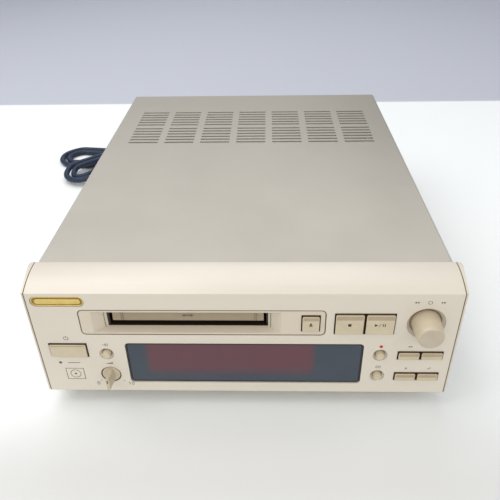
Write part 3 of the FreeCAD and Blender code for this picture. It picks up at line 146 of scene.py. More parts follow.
def add_node(tree: bpy.types.NodeTree, kind: str, values: Optional[dict] = None,
             **settings: object) -> bpy.types.Node:
    """Adds one shader node.

    Args:
        tree: the material's node tree.
        kind: the node's type name.
        values: input sockets by name or number, set to a constant or linked from a socket.
        settings: properties of the node itself.

    Returns:
        The new node.
    """
    node = tree.nodes.new(kind)
    for name, value in settings.items():
        setattr(node, name, value)
    for name, value in (values or {}).items():
        if isinstance(value, bpy.types.NodeSocket):
            tree.links.new(value, node.inputs[name])
        else:
            node.inputs[name].default_value = value
    return node


class Build(Enum):
    """What a surface is made of, as its metal share and its mirror level."""

    PAINT = (0.0, 0.5)
    PLASTIC = (0.0, 0.4)
    METAL = (1.0, 0.3)
    GLASS = (0.0, 1.0)
    WINDOW = (0.0, 0.3)
    RUBBER = (0.0, 0.25)
    PRINT = (0.0, 0.2)

    @property
    def metallic(self) -> float:
        """The shader's metal share."""
        return self.value[0]

    @property
    def specular(self) -> float:
        """The shader's mirror level."""
        return self.value[1]


@dataclass(frozen=True)
class Finish:
    """One real finish: its colours, gloss, grain, wear and rounded edges, in real sizes.

    Attributes:
        name: the material's name.
        build: what it is made of.
        colour: the ground's hex code.
        shade: the hex code of its clouds and flecks.
        worn: the hex code of its rubbed edges.
        roughness: the mean roughness.
        spread: how far the grain moves the roughness either way.
        cloud_mm: the size of a slow cloud of tone.
        cloud: how strong the clouds are.
        grain_mm: the size of a grain, as coarse as it needs to be to show.
        grain_lift_mm: the grain's height.
        stretch: the grain's frequency along each axis.
        edge_mm: the radius that sharp edges are rounded to.
        wear: how strongly edges are rubbed.
        coat: the share of clear lacquer.
        coat_roughness: the lacquer's roughness.
        fleck: how strong fine flecks are.
    """

    name: str
    build: Build
    colour: str
    shade: str
    worn: str
    roughness: float = 0.45
    spread: float = 0.06
    cloud_mm: float = 60.0
    cloud: float = 0.5
    grain_mm: float = 0.5
    grain_lift_mm: float = 0.01
    stretch: tuple[float, float, float] = (1.0, 1.0, 1.0)
    edge_mm: float = 0.3
    wear: float = 0.5
    coat: float = 0.0
    coat_roughness: float = 0.1
    fleck: float = 0.0

    def make(self) -> bpy.types.Material:
        """Builds the finish as a procedural material.

        Returns:
            The new material.
        """
        material = bpy.data.materials.new(self.name)
        material.use_nodes = True
        tree = material.node_tree
        tree.nodes.clear()
        place = add_node(tree, "ShaderNodeTexCoord").outputs["Object"]
        base = self._colour(tree, place)
        rounded, edge = self._edge(tree)
        worn = add_node(tree, "ShaderNodeMix", {
            "Factor": edge, 6: base, 7: linear(self.worn),
        }, data_type="RGBA")
        grain = self._noise(tree, place, self.grain_mm, 2.0)
        bump = add_node(tree, "ShaderNodeBump", {
            "Strength": 1.0, "Distance": self.grain_lift_mm * MM, "Height": grain, "Normal": rounded,
        })
        gloss = add_node(tree, "ShaderNodeMapRange", {
            "Value": grain, "To Min": self.roughness - self.spread, "To Max": self.roughness + self.spread,
        })
        surface = add_node(tree, "ShaderNodeBsdfPrincipled", {
            "Base Color": worn.outputs[2],
            "Metallic": self.build.metallic,
            "Roughness": gloss.outputs[0],
            "Specular IOR Level": self.build.specular,
            "Coat Weight": self.coat,
            "Coat Roughness": self.coat_roughness,
            "Normal": bump.outputs[0],
        })
        add_node(tree, "ShaderNodeOutputMaterial", {"Surface": surface.outputs[0]})
        material.diffuse_color = linear(self.colour)
        return material

    def _noise(self, tree: bpy.types.NodeTree, place: bpy.types.NodeSocket, size_mm: float,
               detail: float) -> bpy.types.NodeSocket:
        """Noise of a real size, stretched along the finish's grain.

        Args:
            tree: the material's node tree.
            place: coordinates in metres.
            size_mm: the size of one patch.
            detail: octaves of finer noise.

        Returns:
            The noise's value socket.
        """
        scaled = add_node(tree, "ShaderNodeMapping", {
            "Vector": place, "Scale": [share / (size_mm * MM) for share in self.stretch],
        })
        noise = add_node(tree, "ShaderNodeTexNoise", {
            "Vector": scaled.outputs[0], "Scale": 1.0, "Detail": detail, "Roughness": 0.55,
        })
        return noise.outputs["Fac"]

    def _colour(self, tree: bpy.types.NodeTree, place: bpy.types.NodeSocket) -> bpy.types.NodeSocket:
        """The colour with slow clouds and fine flecks.

        Args:
            tree: the material's node tree.
            place: coordinates in metres.

        Returns:
            The colour socket.
        """
        cloud = self._noise(tree, place, self.cloud_mm, 2.0)
        eased = add_node(tree, "ShaderNodeMapRange", {
            "Value": cloud, "From Min": 0.3, "From Max": 0.7, "To Min": 0.0, "To Max": self.cloud,
        })
        mixed = add_node(tree, "ShaderNodeMix", {
            "Factor": eased.outputs[0], 6: linear(self.colour), 7: linear(self.shade),
        }, data_type="RGBA").outputs[2]
        if not self.fleck:
            return mixed
        fleck = self._noise(tree, place, self.grain_mm, 3.0)
        strong = add_node(tree, "ShaderNodeMapRange", {
            "Value": fleck, "From Min": 0.42, "From Max": 0.62, "To Min": 0.0, "To Max": self.fleck,
        })
        return add_node(tree, "ShaderNodeMix", {
            "Factor": strong.outputs[0], 6: mixed, 7: linear(self.shade),
        }, data_type="RGBA").outputs[2]

    def _edge(self, tree: bpy.types.NodeTree) -> tuple[bpy.types.NodeSocket, bpy.types.NodeSocket]:
        """Rounds sharp edges and finds where they are rubbed.

        Args:
            tree: the material's node tree.

        Returns:
            The rounded normal, and a mask of the edges.
        """
        rounded = add_node(tree, "ShaderNodeBevel", {"Radius": self.edge_mm * MM}, samples=4)
        flat = add_node(tree, "ShaderNodeNewGeometry").outputs["True Normal"]
        same = add_node(tree, "ShaderNodeVectorMath", {
            0: rounded.outputs[0], 1: flat,
        }, operation="DOT_PRODUCT")
        mask = add_node(tree, "ShaderNodeMapRange", {
            "Value": same.outputs["Value"],
            "From Min": 0.98,
            "From Max": 0.7,
            "To Min": 0.0,
            "To Max": self.wear,
        })
        return rounded.outputs[0], mask.outputs[0]


# Every finish, named after the real material or the painted shade that it stands for, with what it gives the
# eye
FINISHES = {
    # Baked enamel dries to a fine pebble: a soft grey sheen with flecks
    "cover": Finish("satin_baked_enamel_cover", Build.PAINT, "#BEB9AE", "#AEA99E", "#D2CDC1", 0.42, 0.1,
                    cloud_mm=45.0, cloud=0.55, grain_mm=0.45, grain_lift_mm=0.02, fleck=0.45, edge_mm=0.5),
    # Metal flake under clear lacquer: a warm pale sheen with a soft highlight
    "fascia": Finish("champagne_metallic_paint_front", Build.PAINT, "#D8D0C2", "#CFC6B5", "#E9E2D5", 0.34,
                     0.06, cloud_mm=70.0, cloud=0.4, grain_mm=0.25, grain_lift_mm=0.006, fleck=0.18, coat=0.8,
                     coat_roughness=0.3),
    # The same paint over ABS, a little darker and duller than the front plate
    "bezel": Finish("champagne_painted_abs_bezel", Build.PAINT, "#D2C7B5", "#C8BDA8", "#EFE8DA", 0.38, 0.05,
                    cloud_mm=30.0, cloud=0.4, grain_mm=0.25, grain_lift_mm=0.005, edge_mm=0.35, coat=0.1),
    # Moulded in the colour and not painted, so flatter; drawn darker and browner as painted shade of the
    # mouth that it sits in
    "flap": Finish("champagne_moulded_flap_painted_shade", Build.PLASTIC, "#A5977F", "#94866F", "#C2B59F", 0.4, 0.05,
                   cloud_mm=20.0, cloud=0.4, grain_mm=0.3, edge_mm=0.2),
    # Moulded ABS with rubbed edges: pale rims round a satin face
    "key": Finish("champagne_moulded_abs_key", Build.PLASTIC, "#CCC0A6", "#B9AB8F", "#E6DCC6", 0.38, 0.05,
                  cloud_mm=8.0, cloud=0.5, grain_mm=0.2, grain_lift_mm=0.004, edge_mm=0.18, wear=0.6),
    # Moulded and satin painted: a soft highlight down its side
    "knob": Finish("champagne_satin_knob", Build.PLASTIC, "#C8BBA2", "#B7A98D", "#E2D8C4", 0.3, 0.05,
                   cloud_mm=10.0, cloud=0.45, grain_mm=0.25, grain_lift_mm=0.006, edge_mm=0.25, coat=0.2),
    # Spun aluminium: a broad glint across its end
    "knob_face": Finish("spun_aluminium_knob_face", Build.METAL, "#D6CBB8", "#C4B8A3", "#E8E0D0", 0.32, 0.1,
                        cloud_mm=6.0, cloud=0.5, grain_mm=0.12, grain_lift_mm=0.004, edge_mm=0.15),
    # Electroplated gold: a sharp warm mirror with pale edges
    "gold": Finish("gold_electroplated_badge", Build.METAL, "#EBD287", "#D9BC68", "#FBF0C8", 0.2, 0.06,
                   cloud_mm=5.0, cloud=0.6, grain_mm=0.2, grain_lift_mm=0.003, edge_mm=0.3, wear=0.8),
    # The same plating on a matt ground: a field that looks deeper than its rim
    "gold_dark": Finish("gold_badge_sunk_field", Build.METAL, "#A58A4E", "#8A713C", "#D6BC7C", 0.34, 0.06,
                        cloud_mm=4.0, cloud=0.5, grain_mm=0.15, grain_lift_mm=0.004, edge_mm=0.15),
    # Thin gilt on turned brass: duller than the badge
    "brass": Finish("gilt_phono_barrel", Build.METAL, "#D0B265", "#A98B45", "#F0DDA0", 0.25, 0.06,
                    cloud_mm=4.0, cloud=0.4, grain_mm=0.2, grain_lift_mm=0.003, edge_mm=0.2),
    # Plated steel: a cool grey glint
    "nickel": Finish("nickel_plated_steel", Build.METAL, "#B9BABA", "#97999B", "#DDDEDE", 0.3, 0.08,
                     cloud_mm=6.0, cloud=0.5, grain_mm=0.2, grain_lift_mm=0.004, edge_mm=0.15),
    # Zinc crystals: a cloudy spangle on grey
    "zinc": Finish("zinc_coated_sheet_steel", Build.METAL, "#A9ADAF", "#8D9295", "#C7CACC", 0.42, 0.1,
                   cloud_mm=9.0, cloud=0.8, grain_mm=0.6, grain_lift_mm=0.006, edge_mm=0.2),
    # Cast alloy keeps the die's grain: grey and dull
    "cast": Finish("die_cast_alloy", Build.METAL, "#8F9293", "#7A7D7F", "#B5B8B9", 0.55, 0.08,
                   cloud_mm=12.0, cloud=0.6, grain_mm=0.5, grain_lift_mm=0.03, edge_mm=0.4),
    # Enamel on sheet steel, flatter and greyer than the cover
    "panel": Finish("grey_enamel_rear_panel", Build.PAINT, "#A7A49B", "#9B988F", "#C4C1B8", 0.5, 0.06,
                    cloud_mm=50.0, cloud=0.4, grain_mm=0.4, grain_lift_mm=0.012, fleck=0.2),
    # Moulded styrene: a weak broad sheen on black
    "black": Finish("black_moulded_plastic", Build.PLASTIC, "#1B1C1F", "#131416", "#3A3B3E", 0.5, 0.08,
                    cloud_mm=10.0, cloud=0.4, grain_mm=0.3, grain_lift_mm=0.012, edge_mm=0.2),
    # Soft rubber scatters light: almost no highlight
    "rubber": Finish("black_rubber_foot", Build.RUBBER, "#242426", "#18181A", "#3C3C3F", 0.7, 0.08,
                     cloud_mm=8.0, cloud=0.5, grain_mm=0.5, grain_lift_mm=0.03, edge_mm=0.5),
    # Phenolic paper board: brown, with fibres along one way
    "board": Finish("phenolic_circuit_board", Build.PLASTIC, "#A07A3A", "#84632C", "#C29A55", 0.5, 0.08,
                    cloud_mm=14.0, cloud=0.6, grain_mm=0.8, grain_lift_mm=0.01, stretch=(1.0, 0.2, 1.0)),
    # Yellow tape over copper wire: fine ridges along the winding
    "coil": Finish("taped_copper_winding", Build.PLASTIC, "#C79A3A", "#A87C28", "#E0BC6A", 0.35, 0.08,
                   cloud_mm=6.0, cloud=0.5, grain_mm=0.7, grain_lift_mm=0.05, stretch=(0.15, 0.15, 1.0)),
    # Stacked steel sheets: dark lines across the block
    "core": Finish("laminated_transformer_steel", Build.METAL, "#6E6B66", "#55534F", "#8F8C86", 0.5, 0.1,
                   cloud_mm=8.0, cloud=0.5, grain_mm=0.5, grain_lift_mm=0.04, stretch=(0.1, 1.0, 0.1)),
    # Glass over a dark phosphor ground: a hard clear highlight
    "tube": Finish("display_tube_glass", Build.GLASS, "#2B2F34", "#22262A", "#4A4F55", 0.12, 0.03,
                   cloud_mm=10.0, cloud=0.3, grain_mm=0.6, grain_lift_mm=0.002, coat=1.0),
    # Dark red lens, unlit: nearly black with a small highlight
    "lamp": Finish("smoked_lamp_lens", Build.GLASS, "#3A1512", "#2A0E0C", "#6A3530", 0.18, 0.03,
                   cloud_mm=2.0, cloud=0.3, grain_mm=0.3, grain_lift_mm=0.002, edge_mm=0.1, coat=1.0),
    # Smoked acrylic: slate blue with a slightly soft reflection
    "window": Finish("smoked_acrylic_window", Build.WINDOW, "#434C56", "#3C454F", "#59626B", 0.22, 0.03,
                     cloud_mm=26.0, cloud=0.6, grain_mm=2.0, grain_lift_mm=0.002, edge_mm=0.3, wear=0.3),
    # Painted shade: a key's side and the walls of openings, in their shade, drawn dark so that it reads at
    # this size
    "flank": Finish("painted_shade_key_flank", Build.PLASTIC, "#6A543E", "#58452F", "#80694F", 0.6, 0.05,
                    cloud_mm=5.0, cloud=0.5, grain_mm=0.2, grain_lift_mm=0.004, edge_mm=0.1, wear=0.3),
    # A joint too narrow to show as a gap, drawn as a dark line
    "gap": Finish("dark_joint_gap", Build.PRINT, "#6B5945", "#5A4A38", "#7B6953", 0.7, 0.05,
                  cloud_mm=5.0, cloud=0.5, grain_mm=0.2, grain_lift_mm=0.004, edge_mm=0.05, wear=0.0),
    # A key's upper band, tilted from the light, drawn as a darker tone
    "key_shade": Finish("shaded_key_upper_band", Build.PLASTIC, "#AFA086", "#9F9074", "#CDC1A8", 0.42, 0.05,
                        cloud_mm=8.0, cloud=0.5, grain_mm=0.2, grain_lift_mm=0.004, edge_mm=0.1),
    # Painted shade: champagne paint on a slope that faces away from the light, drawn dark brown
    "dish": Finish("shaded_champagne_dish", Build.PAINT, "#83705A", "#6E5C47", "#A8967C", 0.5, 0.05,
                   cloud_mm=5.0, cloud=0.5, grain_mm=0.25, grain_lift_mm=0.006, edge_mm=0.2),
    # Dark print under the window's edge
    "outline": Finish("dark_window_border_print", Build.PRINT, "#2E2A2C", "#262325", "#3C383A", 0.4, 0.04,
                      cloud_mm=10.0, cloud=0.3, grain_mm=0.3, grain_lift_mm=0.002, edge_mm=0.1),
    # Silkscreen ink: flat thin brown marks
    "ink": Finish("brown_silkscreen_ink", Build.PRINT, "#6E6356", "#5E5448", "#85796B", 0.6, 0.05,
                  cloud_mm=3.0, cloud=0.6, grain_mm=0.15, grain_lift_mm=0.004, edge_mm=0.05),
    # The same ink, darker, on the keys and at the rear
    "ink_dark": Finish("dark_silkscreen_ink", Build.PRINT, "#3B352F", "#2F2A25", "#564E46", 0.6, 0.05,
                       cloud_mm=3.0, cloud=0.5, grain_mm=0.15, grain_lift_mm=0.004, edge_mm=0.05),
    # Red ink and red resin: a flat strong spot of colour
    "ink_red": Finish("red_silkscreen_ink", Build.PRINT, "#B5352B", "#9B2A22", "#CC5A4C", 0.55, 0.05,
                      cloud_mm=2.0, cloud=0.5, grain_mm=0.15, grain_lift_mm=0.004, edge_mm=0.05),
    # White resin: smooth and slightly glossy
    "ink_white": Finish("white_insulator_resin", Build.PLASTIC, "#E2E1DC", "#D5D4CE", "#F0EFEA", 0.45, 0.05,
                        cloud_mm=4.0, cloud=0.4, grain_mm=0.2, grain_lift_mm=0.004, edge_mm=0.15),
    # Vinyl skin: blue black with a long soft highlight
    "cord": Finish("blue_black_vinyl_cord", Build.RUBBER, "#27344A", "#1C2636", "#43546F", 0.42, 0.07,
                   cloud_mm=12.0, cloud=0.5, grain_mm=0.35, grain_lift_mm=0.01, edge_mm=0.1, coat=0.1),
    # Moulded vinyl, duller than the cord
    "plug": Finish("black_vinyl_plug", Build.RUBBER, "#1D2230", "#151925", "#343B4E", 0.45, 0.08,
                   cloud_mm=9.0, cloud=0.5, grain_mm=0.4, grain_lift_mm=0.015, edge_mm=0.5),
    # Matt white board: even, with no grain in view
    "floor": Finish("matt_white_tabletop", Build.PAINT, "#F9FBFA", "#F4F7F6", "#F9FBFA", 0.6, 0.05,
                    cloud_mm=400.0, cloud=0.6, grain_mm=1.5, grain_lift_mm=0.01, edge_mm=0.2),
    # Painted plaster: an even grey blue
    "wall": Finish("grey_blue_painted_wall", Build.PAINT, "#C2C5CE", "#B7BAC4", "#C2C5CE", 0.8, 0.05,
                   cloud_mm=500.0, cloud=0.6, grain_mm=1.5, grain_lift_mm=0.05, edge_mm=0.2),
}


def overlay(tree: bpy.types.NodeTree, mask: bpy.types.NodeSocket, colour: str) -> None:
    """Lays a colour over the base colour where a mask is one.

    Args:
        tree: the material's node tree.
        mask: the mask's socket.
        colour: the hex code.
    """
    surface = next(node for node in tree.nodes if node.type == "BSDF_PRINCIPLED")
    below = surface.inputs["Base Color"].links[0].from_socket
    mixed = add_node(tree, "ShaderNodeMix", {"Factor": mask, 6: below, 7: linear(colour)}, data_type="RGBA")
    tree.links.new(mixed.outputs[2], surface.inputs["Base Color"])


def fade(tree: bpy.types.NodeTree, axis: str, start: float, end: float) -> bpy.types.NodeSocket:
    """A smooth step along an axis of the object.

    Args:
        tree: the material's node tree.
        axis: "X", "Y" or "Z".
        start: where the step is 0, in metres.
        end: where the step is 1, in metres.

    Returns:
        The step's socket.
    """
    place = add_node(tree, "ShaderNodeTexCoord").outputs["Object"]
    apart = add_node(tree, "ShaderNodeSeparateXYZ", {0: place})
    step = add_node(tree, "ShaderNodeMapRange", {
        "Value": apart.outputs[axis], "From Min": start, "From Max": end,
    }, interpolation_type="SMOOTHSTEP")
    return step.outputs[0]


def both(tree: bpy.types.NodeTree, *masks: bpy.types.NodeSocket) -> bpy.types.NodeSocket:
    """The product of several masks.

    Args:
        tree: the material's node tree.
        masks: their sockets.

    Returns:
        The product's socket.
    """
    product = masks[0]
    for mask in masks[1:]:
        product = add_node(tree, "ShaderNodeMath", {0: product, 1: mask}, operation="MULTIPLY").outputs[0]
    return product


def window_material() -> bpy.types.Material:
    """Smoked acrylic with a mauve display zone behind its slate border.

    Returns:
        The new material.
    """
    material = FINISHES["window"].make()
    tree = material.node_tree
    left_edge, right_edge, lower_edge = (-0.050, -0.045), (0.036, 0.032), (0.0185, 0.0275)
    zone = both(tree, fade(tree, "X", *left_edge), fade(tree, "X", *right_edge), fade(tree, "Z", *lower_edge))
    overlay(tree, zone, "#63434A")
    return material


def bezel_material() -> bpy.types.Material:
    """Champagne paint that gives way to painted shade, dark brown, behind the mouth.

    Returns:
        The new material.
    """
    material = FINISHES["bezel"].make()
    tree = material.node_tree
    shade_start_depth, blend = 4.3, 0.1
    start = FrontFrame().at(0, shade_start_depth, 0).y
    # Painted shade: the bezel is dark brown from this depth back, inside the mouth
    overlay(tree, fade(tree, "Y", start, start + blend * MM), "#2B2119")
    return material


def cover_material() -> bpy.types.Material:
    """Satin enamel with painted shade: its tone deepens toward the rear and the right.

    Returns:
        The new material.
    """
    material = FINISHES["cover"].make()
    tree = material.node_tree
    whole_depth, right_half, front_half = (-0.14, 0.20), (0.0, 0.16), (-0.12, 0.1)
    # Painted shade: darker toward the rear, and darker again toward the right and rear
    overlay(tree, fade(tree, "Y", *whole_depth), "#9C978B")
    deeper = both(tree, fade(tree, "X", *right_half), fade(tree, "Y", *front_half))
    overlay(tree, deeper, "#8B867B")
    return material


def floor_material() -> bpy.types.Material:
    """White tabletop with painted shadow that greys it toward the room, and which takes the wall's colour
    past its far edge.

    Returns:
        The new material.
    """
    material = FINISHES["floor"].make()
    tree = material.node_tree
    painted_shade_zone, edge_blur = (-0.12, -0.18), 0.006
    # Painted shadow: greyer toward the room, in front of the deck
    overlay(tree, fade(tree, "Y", *painted_shade_zone), "#DADAD8")
    edge = Studio.TABLE_EDGE
    overlay(tree, fade(tree, "Y", edge, edge + edge_blur), FINISHES["wall"].colour)
    return material


class Palette:
    """Makes each finish once, when a piece first asks for it."""

    ZONED = {
        "window": window_material, "bezel": bezel_material, "cover": cover_material, "floor": floor_material,
    }

    def __init__(self) -> None:
        """Starts with no material made."""
        self._made: dict[str, bpy.types.Material] = {}

    def get(self, name: str) -> bpy.types.Material:
        """The material of a finish.

        Args:
            name: the finish's key.

        Returns:
            The material.
        """
        if name not in self._made:
            self._made[name] = self.ZONED[name]() if name in self.ZONED else FINISHES[name].make()
        return self._made[name]


# Mesh making

def oblong(wide: float, tall: float) -> list[Point2]:
    """A plain rectangle about the origin."""
    return [(-wide / 2, -tall / 2), (wide / 2, -tall / 2), (wide / 2, tall / 2), (-wide / 2, tall / 2)]


def rounded(wide: float, tall: float, radius: float, steps: int = 6) -> list[Point2]:
    """A rectangle with round corners about the origin.

    Args:
        wide: full width.
        tall: full height.
        radius: corner radius.
        steps: segments of each corner.

    Returns:
        The outline, anticlockwise.
    """
    straight = 1e-4
    reach = min(radius, wide / 2 - straight, tall / 2 - straight)
    points = []
    for corner, (side, up) in enumerate(((1, 1), (-1, 1), (-1, -1), (1, -1))):
        for step in range(steps + 1):
            angle = math.pi / 2 * (corner + step / steps)
            points.append((
                side * (wide / 2 - reach) + reach * math.cos(angle),
                up * (tall / 2 - reach) + reach * math.sin(angle),
            ))
    return points


def disc(radius: float, steps: int = 24) -> list[Point2]:
    """A round outline about the origin.

    Args:
        radius: the radius.
        steps: its corners.

    Returns:
        The outline, anticlockwise.
    """
    turns = [2 * math.pi * step / steps for step in range(steps)]
    return [(radius * math.cos(turn), radius * math.sin(turn)) for turn in turns]


def moved(points: Sequence[Point2], across: float, up: float, turn: float = 0.0) -> list[Point2]:
    """An outline turned and moved.

    Args:
        points: the outline.
        across: the move to the right.
        up: the move upward.
        turn: the turn in degrees, anticlockwise.

    Returns:
        The new outline.
    """
    cos, sin = math.cos(math.radians(turn)), math.sin(math.radians(turn))
    return [(across + x * cos - y * sin, up + x * sin + y * cos) for x, y in points]


class Workshop:
    """Makes pieces in the front frame, finishes them and lets them ride on their bodies."""

    def __init__(self) -> None:
        """Sets up the front frame and the finishes."""
        self.front = FrontFrame()
        self.palette = Palette()

    def finish(self, name: str, mesh: bmesh.types.BMesh, finish: str, body: str, slot: Optional[str] = None,
               stands_for: Sequence[str] = (), smooth: float = 35.0) -> bpy.types.Object:
        """Turns a mesh into a piece on a body.

        Args:
            name: the piece's name.
            mesh: the mesh, in the row frame.
            finish: the finish's key.
            body: the body that it rides on.
            slot: the record's material slot.
            stands_for: nodes that it replaces.
            smooth: edges under this angle, in degrees, are shaded smooth.

        Returns:
            The piece.
        """
        bmesh.ops.recalc_face_normals(mesh, faces=mesh.faces)
        for face in mesh.faces:
            face.smooth = True
        for edge in mesh.edges:
            if len(edge.link_faces) == 2 and edge.calc_face_angle() > math.radians(smooth):
                edge.smooth = False
        data = bpy.data.meshes.new(name)
        mesh.to_mesh(data)
        mesh.free()
        data.materials.append(self.palette.get(finish))
        piece = bpy.data.objects.new(name, data)
        bpy.context.scene.collection.objects.link(piece)
        return self.settle(piece, body, slot, stands_for)

    def settle(self, piece: bpy.types.Object, body: str, slot: Optional[str],
               stands_for: Sequence[str] = ()) -> bpy.types.Object:
        """Lets a piece ride on a body, with its slot and the nodes that it replaces.

        Args:
            piece: the piece, in place.
            body: the body that it rides on.
            slot: the record's material slot; not used.
            stands_for: nodes that it replaces.

        Returns:
            The piece.
        """
        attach(piece, body)
        if stands_for:
            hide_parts(*stands_for)
        LOG.info("%s rides on %s", piece.name, body)
        return piece

    def loft(self, mesh: bmesh.types.BMesh, rings: Sequence[Sequence[Vector]], closed: bool = False) -> None:
        """Joins rings of points into one closed skin.

        Args:
            mesh: the mesh that it is added to.
            rings: rings with the same count of points, in order.
            closed: joins the last ring to the first, and puts no caps on.
        """
        made = [[mesh.verts.new(point) for point in ring] for ring in rings]
        pairs = list(zip(made, made[1:]))
        if closed:
            pairs.append((made[-1], made[0]))
        for near, far in pairs:
            count = len(near)
            for index in range(count):
                after = (index + 1) % count
                mesh.faces.new((near[index], near[after], far[after], far[index]))
        if not closed:
            mesh.faces.new(made[0])
            mesh.faces.new(made[-1])

    def stack(self, mesh: bmesh.types.BMesh, across: float, up: float,
              layers: Sequence[tuple[float, Sequence[Point2]]]) -> None:
        """Joins outlines at several depths behind the front plate.

        Args:
            mesh: the mesh that it is added to.
            across: the centre's place.
            up: the centre's height.
            layers: depth and outline of each, from back to front.
        """
        self.loft(mesh, [self.front.outline(shape, across, depth, up) for depth, shape in layers])

    def lathe(self, mesh: bmesh.types.BMesh, centre: Vector, axis: str,
              profile: Sequence[Point2], steps: int) -> None:
        """Turns a profile about an axis.

        Args:
            mesh: the mesh that it is added to.
            centre: a point of the axis, in the row frame.
            axis: "X", "Y" or "Z".
            profile: (distance along the axis, radius) pairs in millimetres.
            steps: segments round the axis.
        """
        rings = []
        for along, radius in profile:
            ring = []
            for first, second in disc(radius, steps):
                place = [first, second]
                place.insert("XYZ".index(axis), along)
                ring.append(centre + Vector(place) * MM)
            rings.append(ring)
        self.loft(mesh, rings)

    def ring(self, mesh: bmesh.types.BMesh, outer: Sequence[Vector], inner: Sequence[Vector],
             shift: Vector) -> None:
        """A closed band between two outlines, with a thickness.

        Args:
            mesh: the mesh that it is added to.
            outer: the outer outline.
            inner: the inner outline, with as many points.
            shift: the band's thickness as a move.
        """
        moved_inner, moved_outer = ([point + shift for point in outline] for outline in (inner, outer))
        self.loft(mesh, [outer, inner, moved_inner, moved_outer], True)

    def moulding(self, name: str, finish: str, body: str, across: float, up: float,
                 layers: Sequence[tuple[float, Sequence[Point2]]], slot: Optional[str] = None,
                 stands_for: Sequence[str] = (), smooth: float = 35.0) -> bpy.types.Object:
        """Makes a piece of outlines at several depths.

        Args:
            name: the piece's name.
            finish: the finish's key.
            body: the body that it rides on.
            across: the centre's place.
            up: the centre's height.
            layers: depth and outline of each, in order.
            slot: the record's material slot.
            stands_for: nodes that it replaces.
            smooth: edges under this angle, in degrees, are shaded smooth.

        Returns:
            The piece.
        """
        mesh = bmesh.new()
        self.stack(mesh, across, up, layers)
        return self.finish(name, mesh, finish, body, slot, stands_for, smooth)

    def turning(self, name: str, finish: str, body: str, centre: Vector, profile: Sequence[Point2],
                steps: int, slot: Optional[str] = None, stands_for: Sequence[str] = (),
                smooth: float = 35.0) -> bpy.types.Object:
        """Makes a piece that is turned about an axis from front to back.

        Args:
            name: the piece's name.
            finish: the finish's key.
            body: the body that it rides on.
            centre: a point of the axis, in the row frame.
            profile: (depth from the centre, radius) pairs in millimetres.
            steps: segments round the axis.
            slot: the record's material slot.
            stands_for: nodes that it replaces.
            smooth: edges under this angle, in degrees, are shaded smooth.

        Returns:
            The piece.
        """
        mesh = bmesh.new()
        self.lathe(mesh, centre, "Y", profile, steps)
        return self.finish(name, mesh, finish, body, slot, stands_for, smooth)

    def border(self, name: str, finish: str, across: float, up: float, depth: float, thick: float,
               outer: Sequence[Point2], inner: Sequence[Point2],
               slot: Optional[str] = None) -> bpy.types.Object:
        """Makes a band on the cabinet's front, such as a rim or the lining of an opening.

        Args:
            name: the piece's name.
            finish: the finish's key.
            across: the centre's place.
            up: the centre's height.
            depth: where the band starts.
            thick: how far back it reaches from there.
            outer: the outer outline.
            inner: the inner outline, with as many points.
            slot: the record's material slot.

        Returns:
            The piece.
        """
        mesh = bmesh.new()
        rims = [self.front.outline(shape, across, depth, up) for shape in (outer, inner)]
        self.ring(mesh, *rims, Vector((0, thick * MM, 0)))
        return self.finish(name, mesh, finish, "cabinet", slot)

    def dress(self, nodes: dict, finish: str, *names: str) -> None:
        """Gives CAD nodes a finish.

        Args:
            nodes: the frame's nodes.
            finish: the finish's key.
            names: the nodes' names.
        """
        for name in names:
            data = nodes[name].data
            data.materials.clear()
            data.materials.append(self.palette.get(finish))
            for polygon in data.polygons:
                polygon.use_smooth = False


# Camera, light and stage

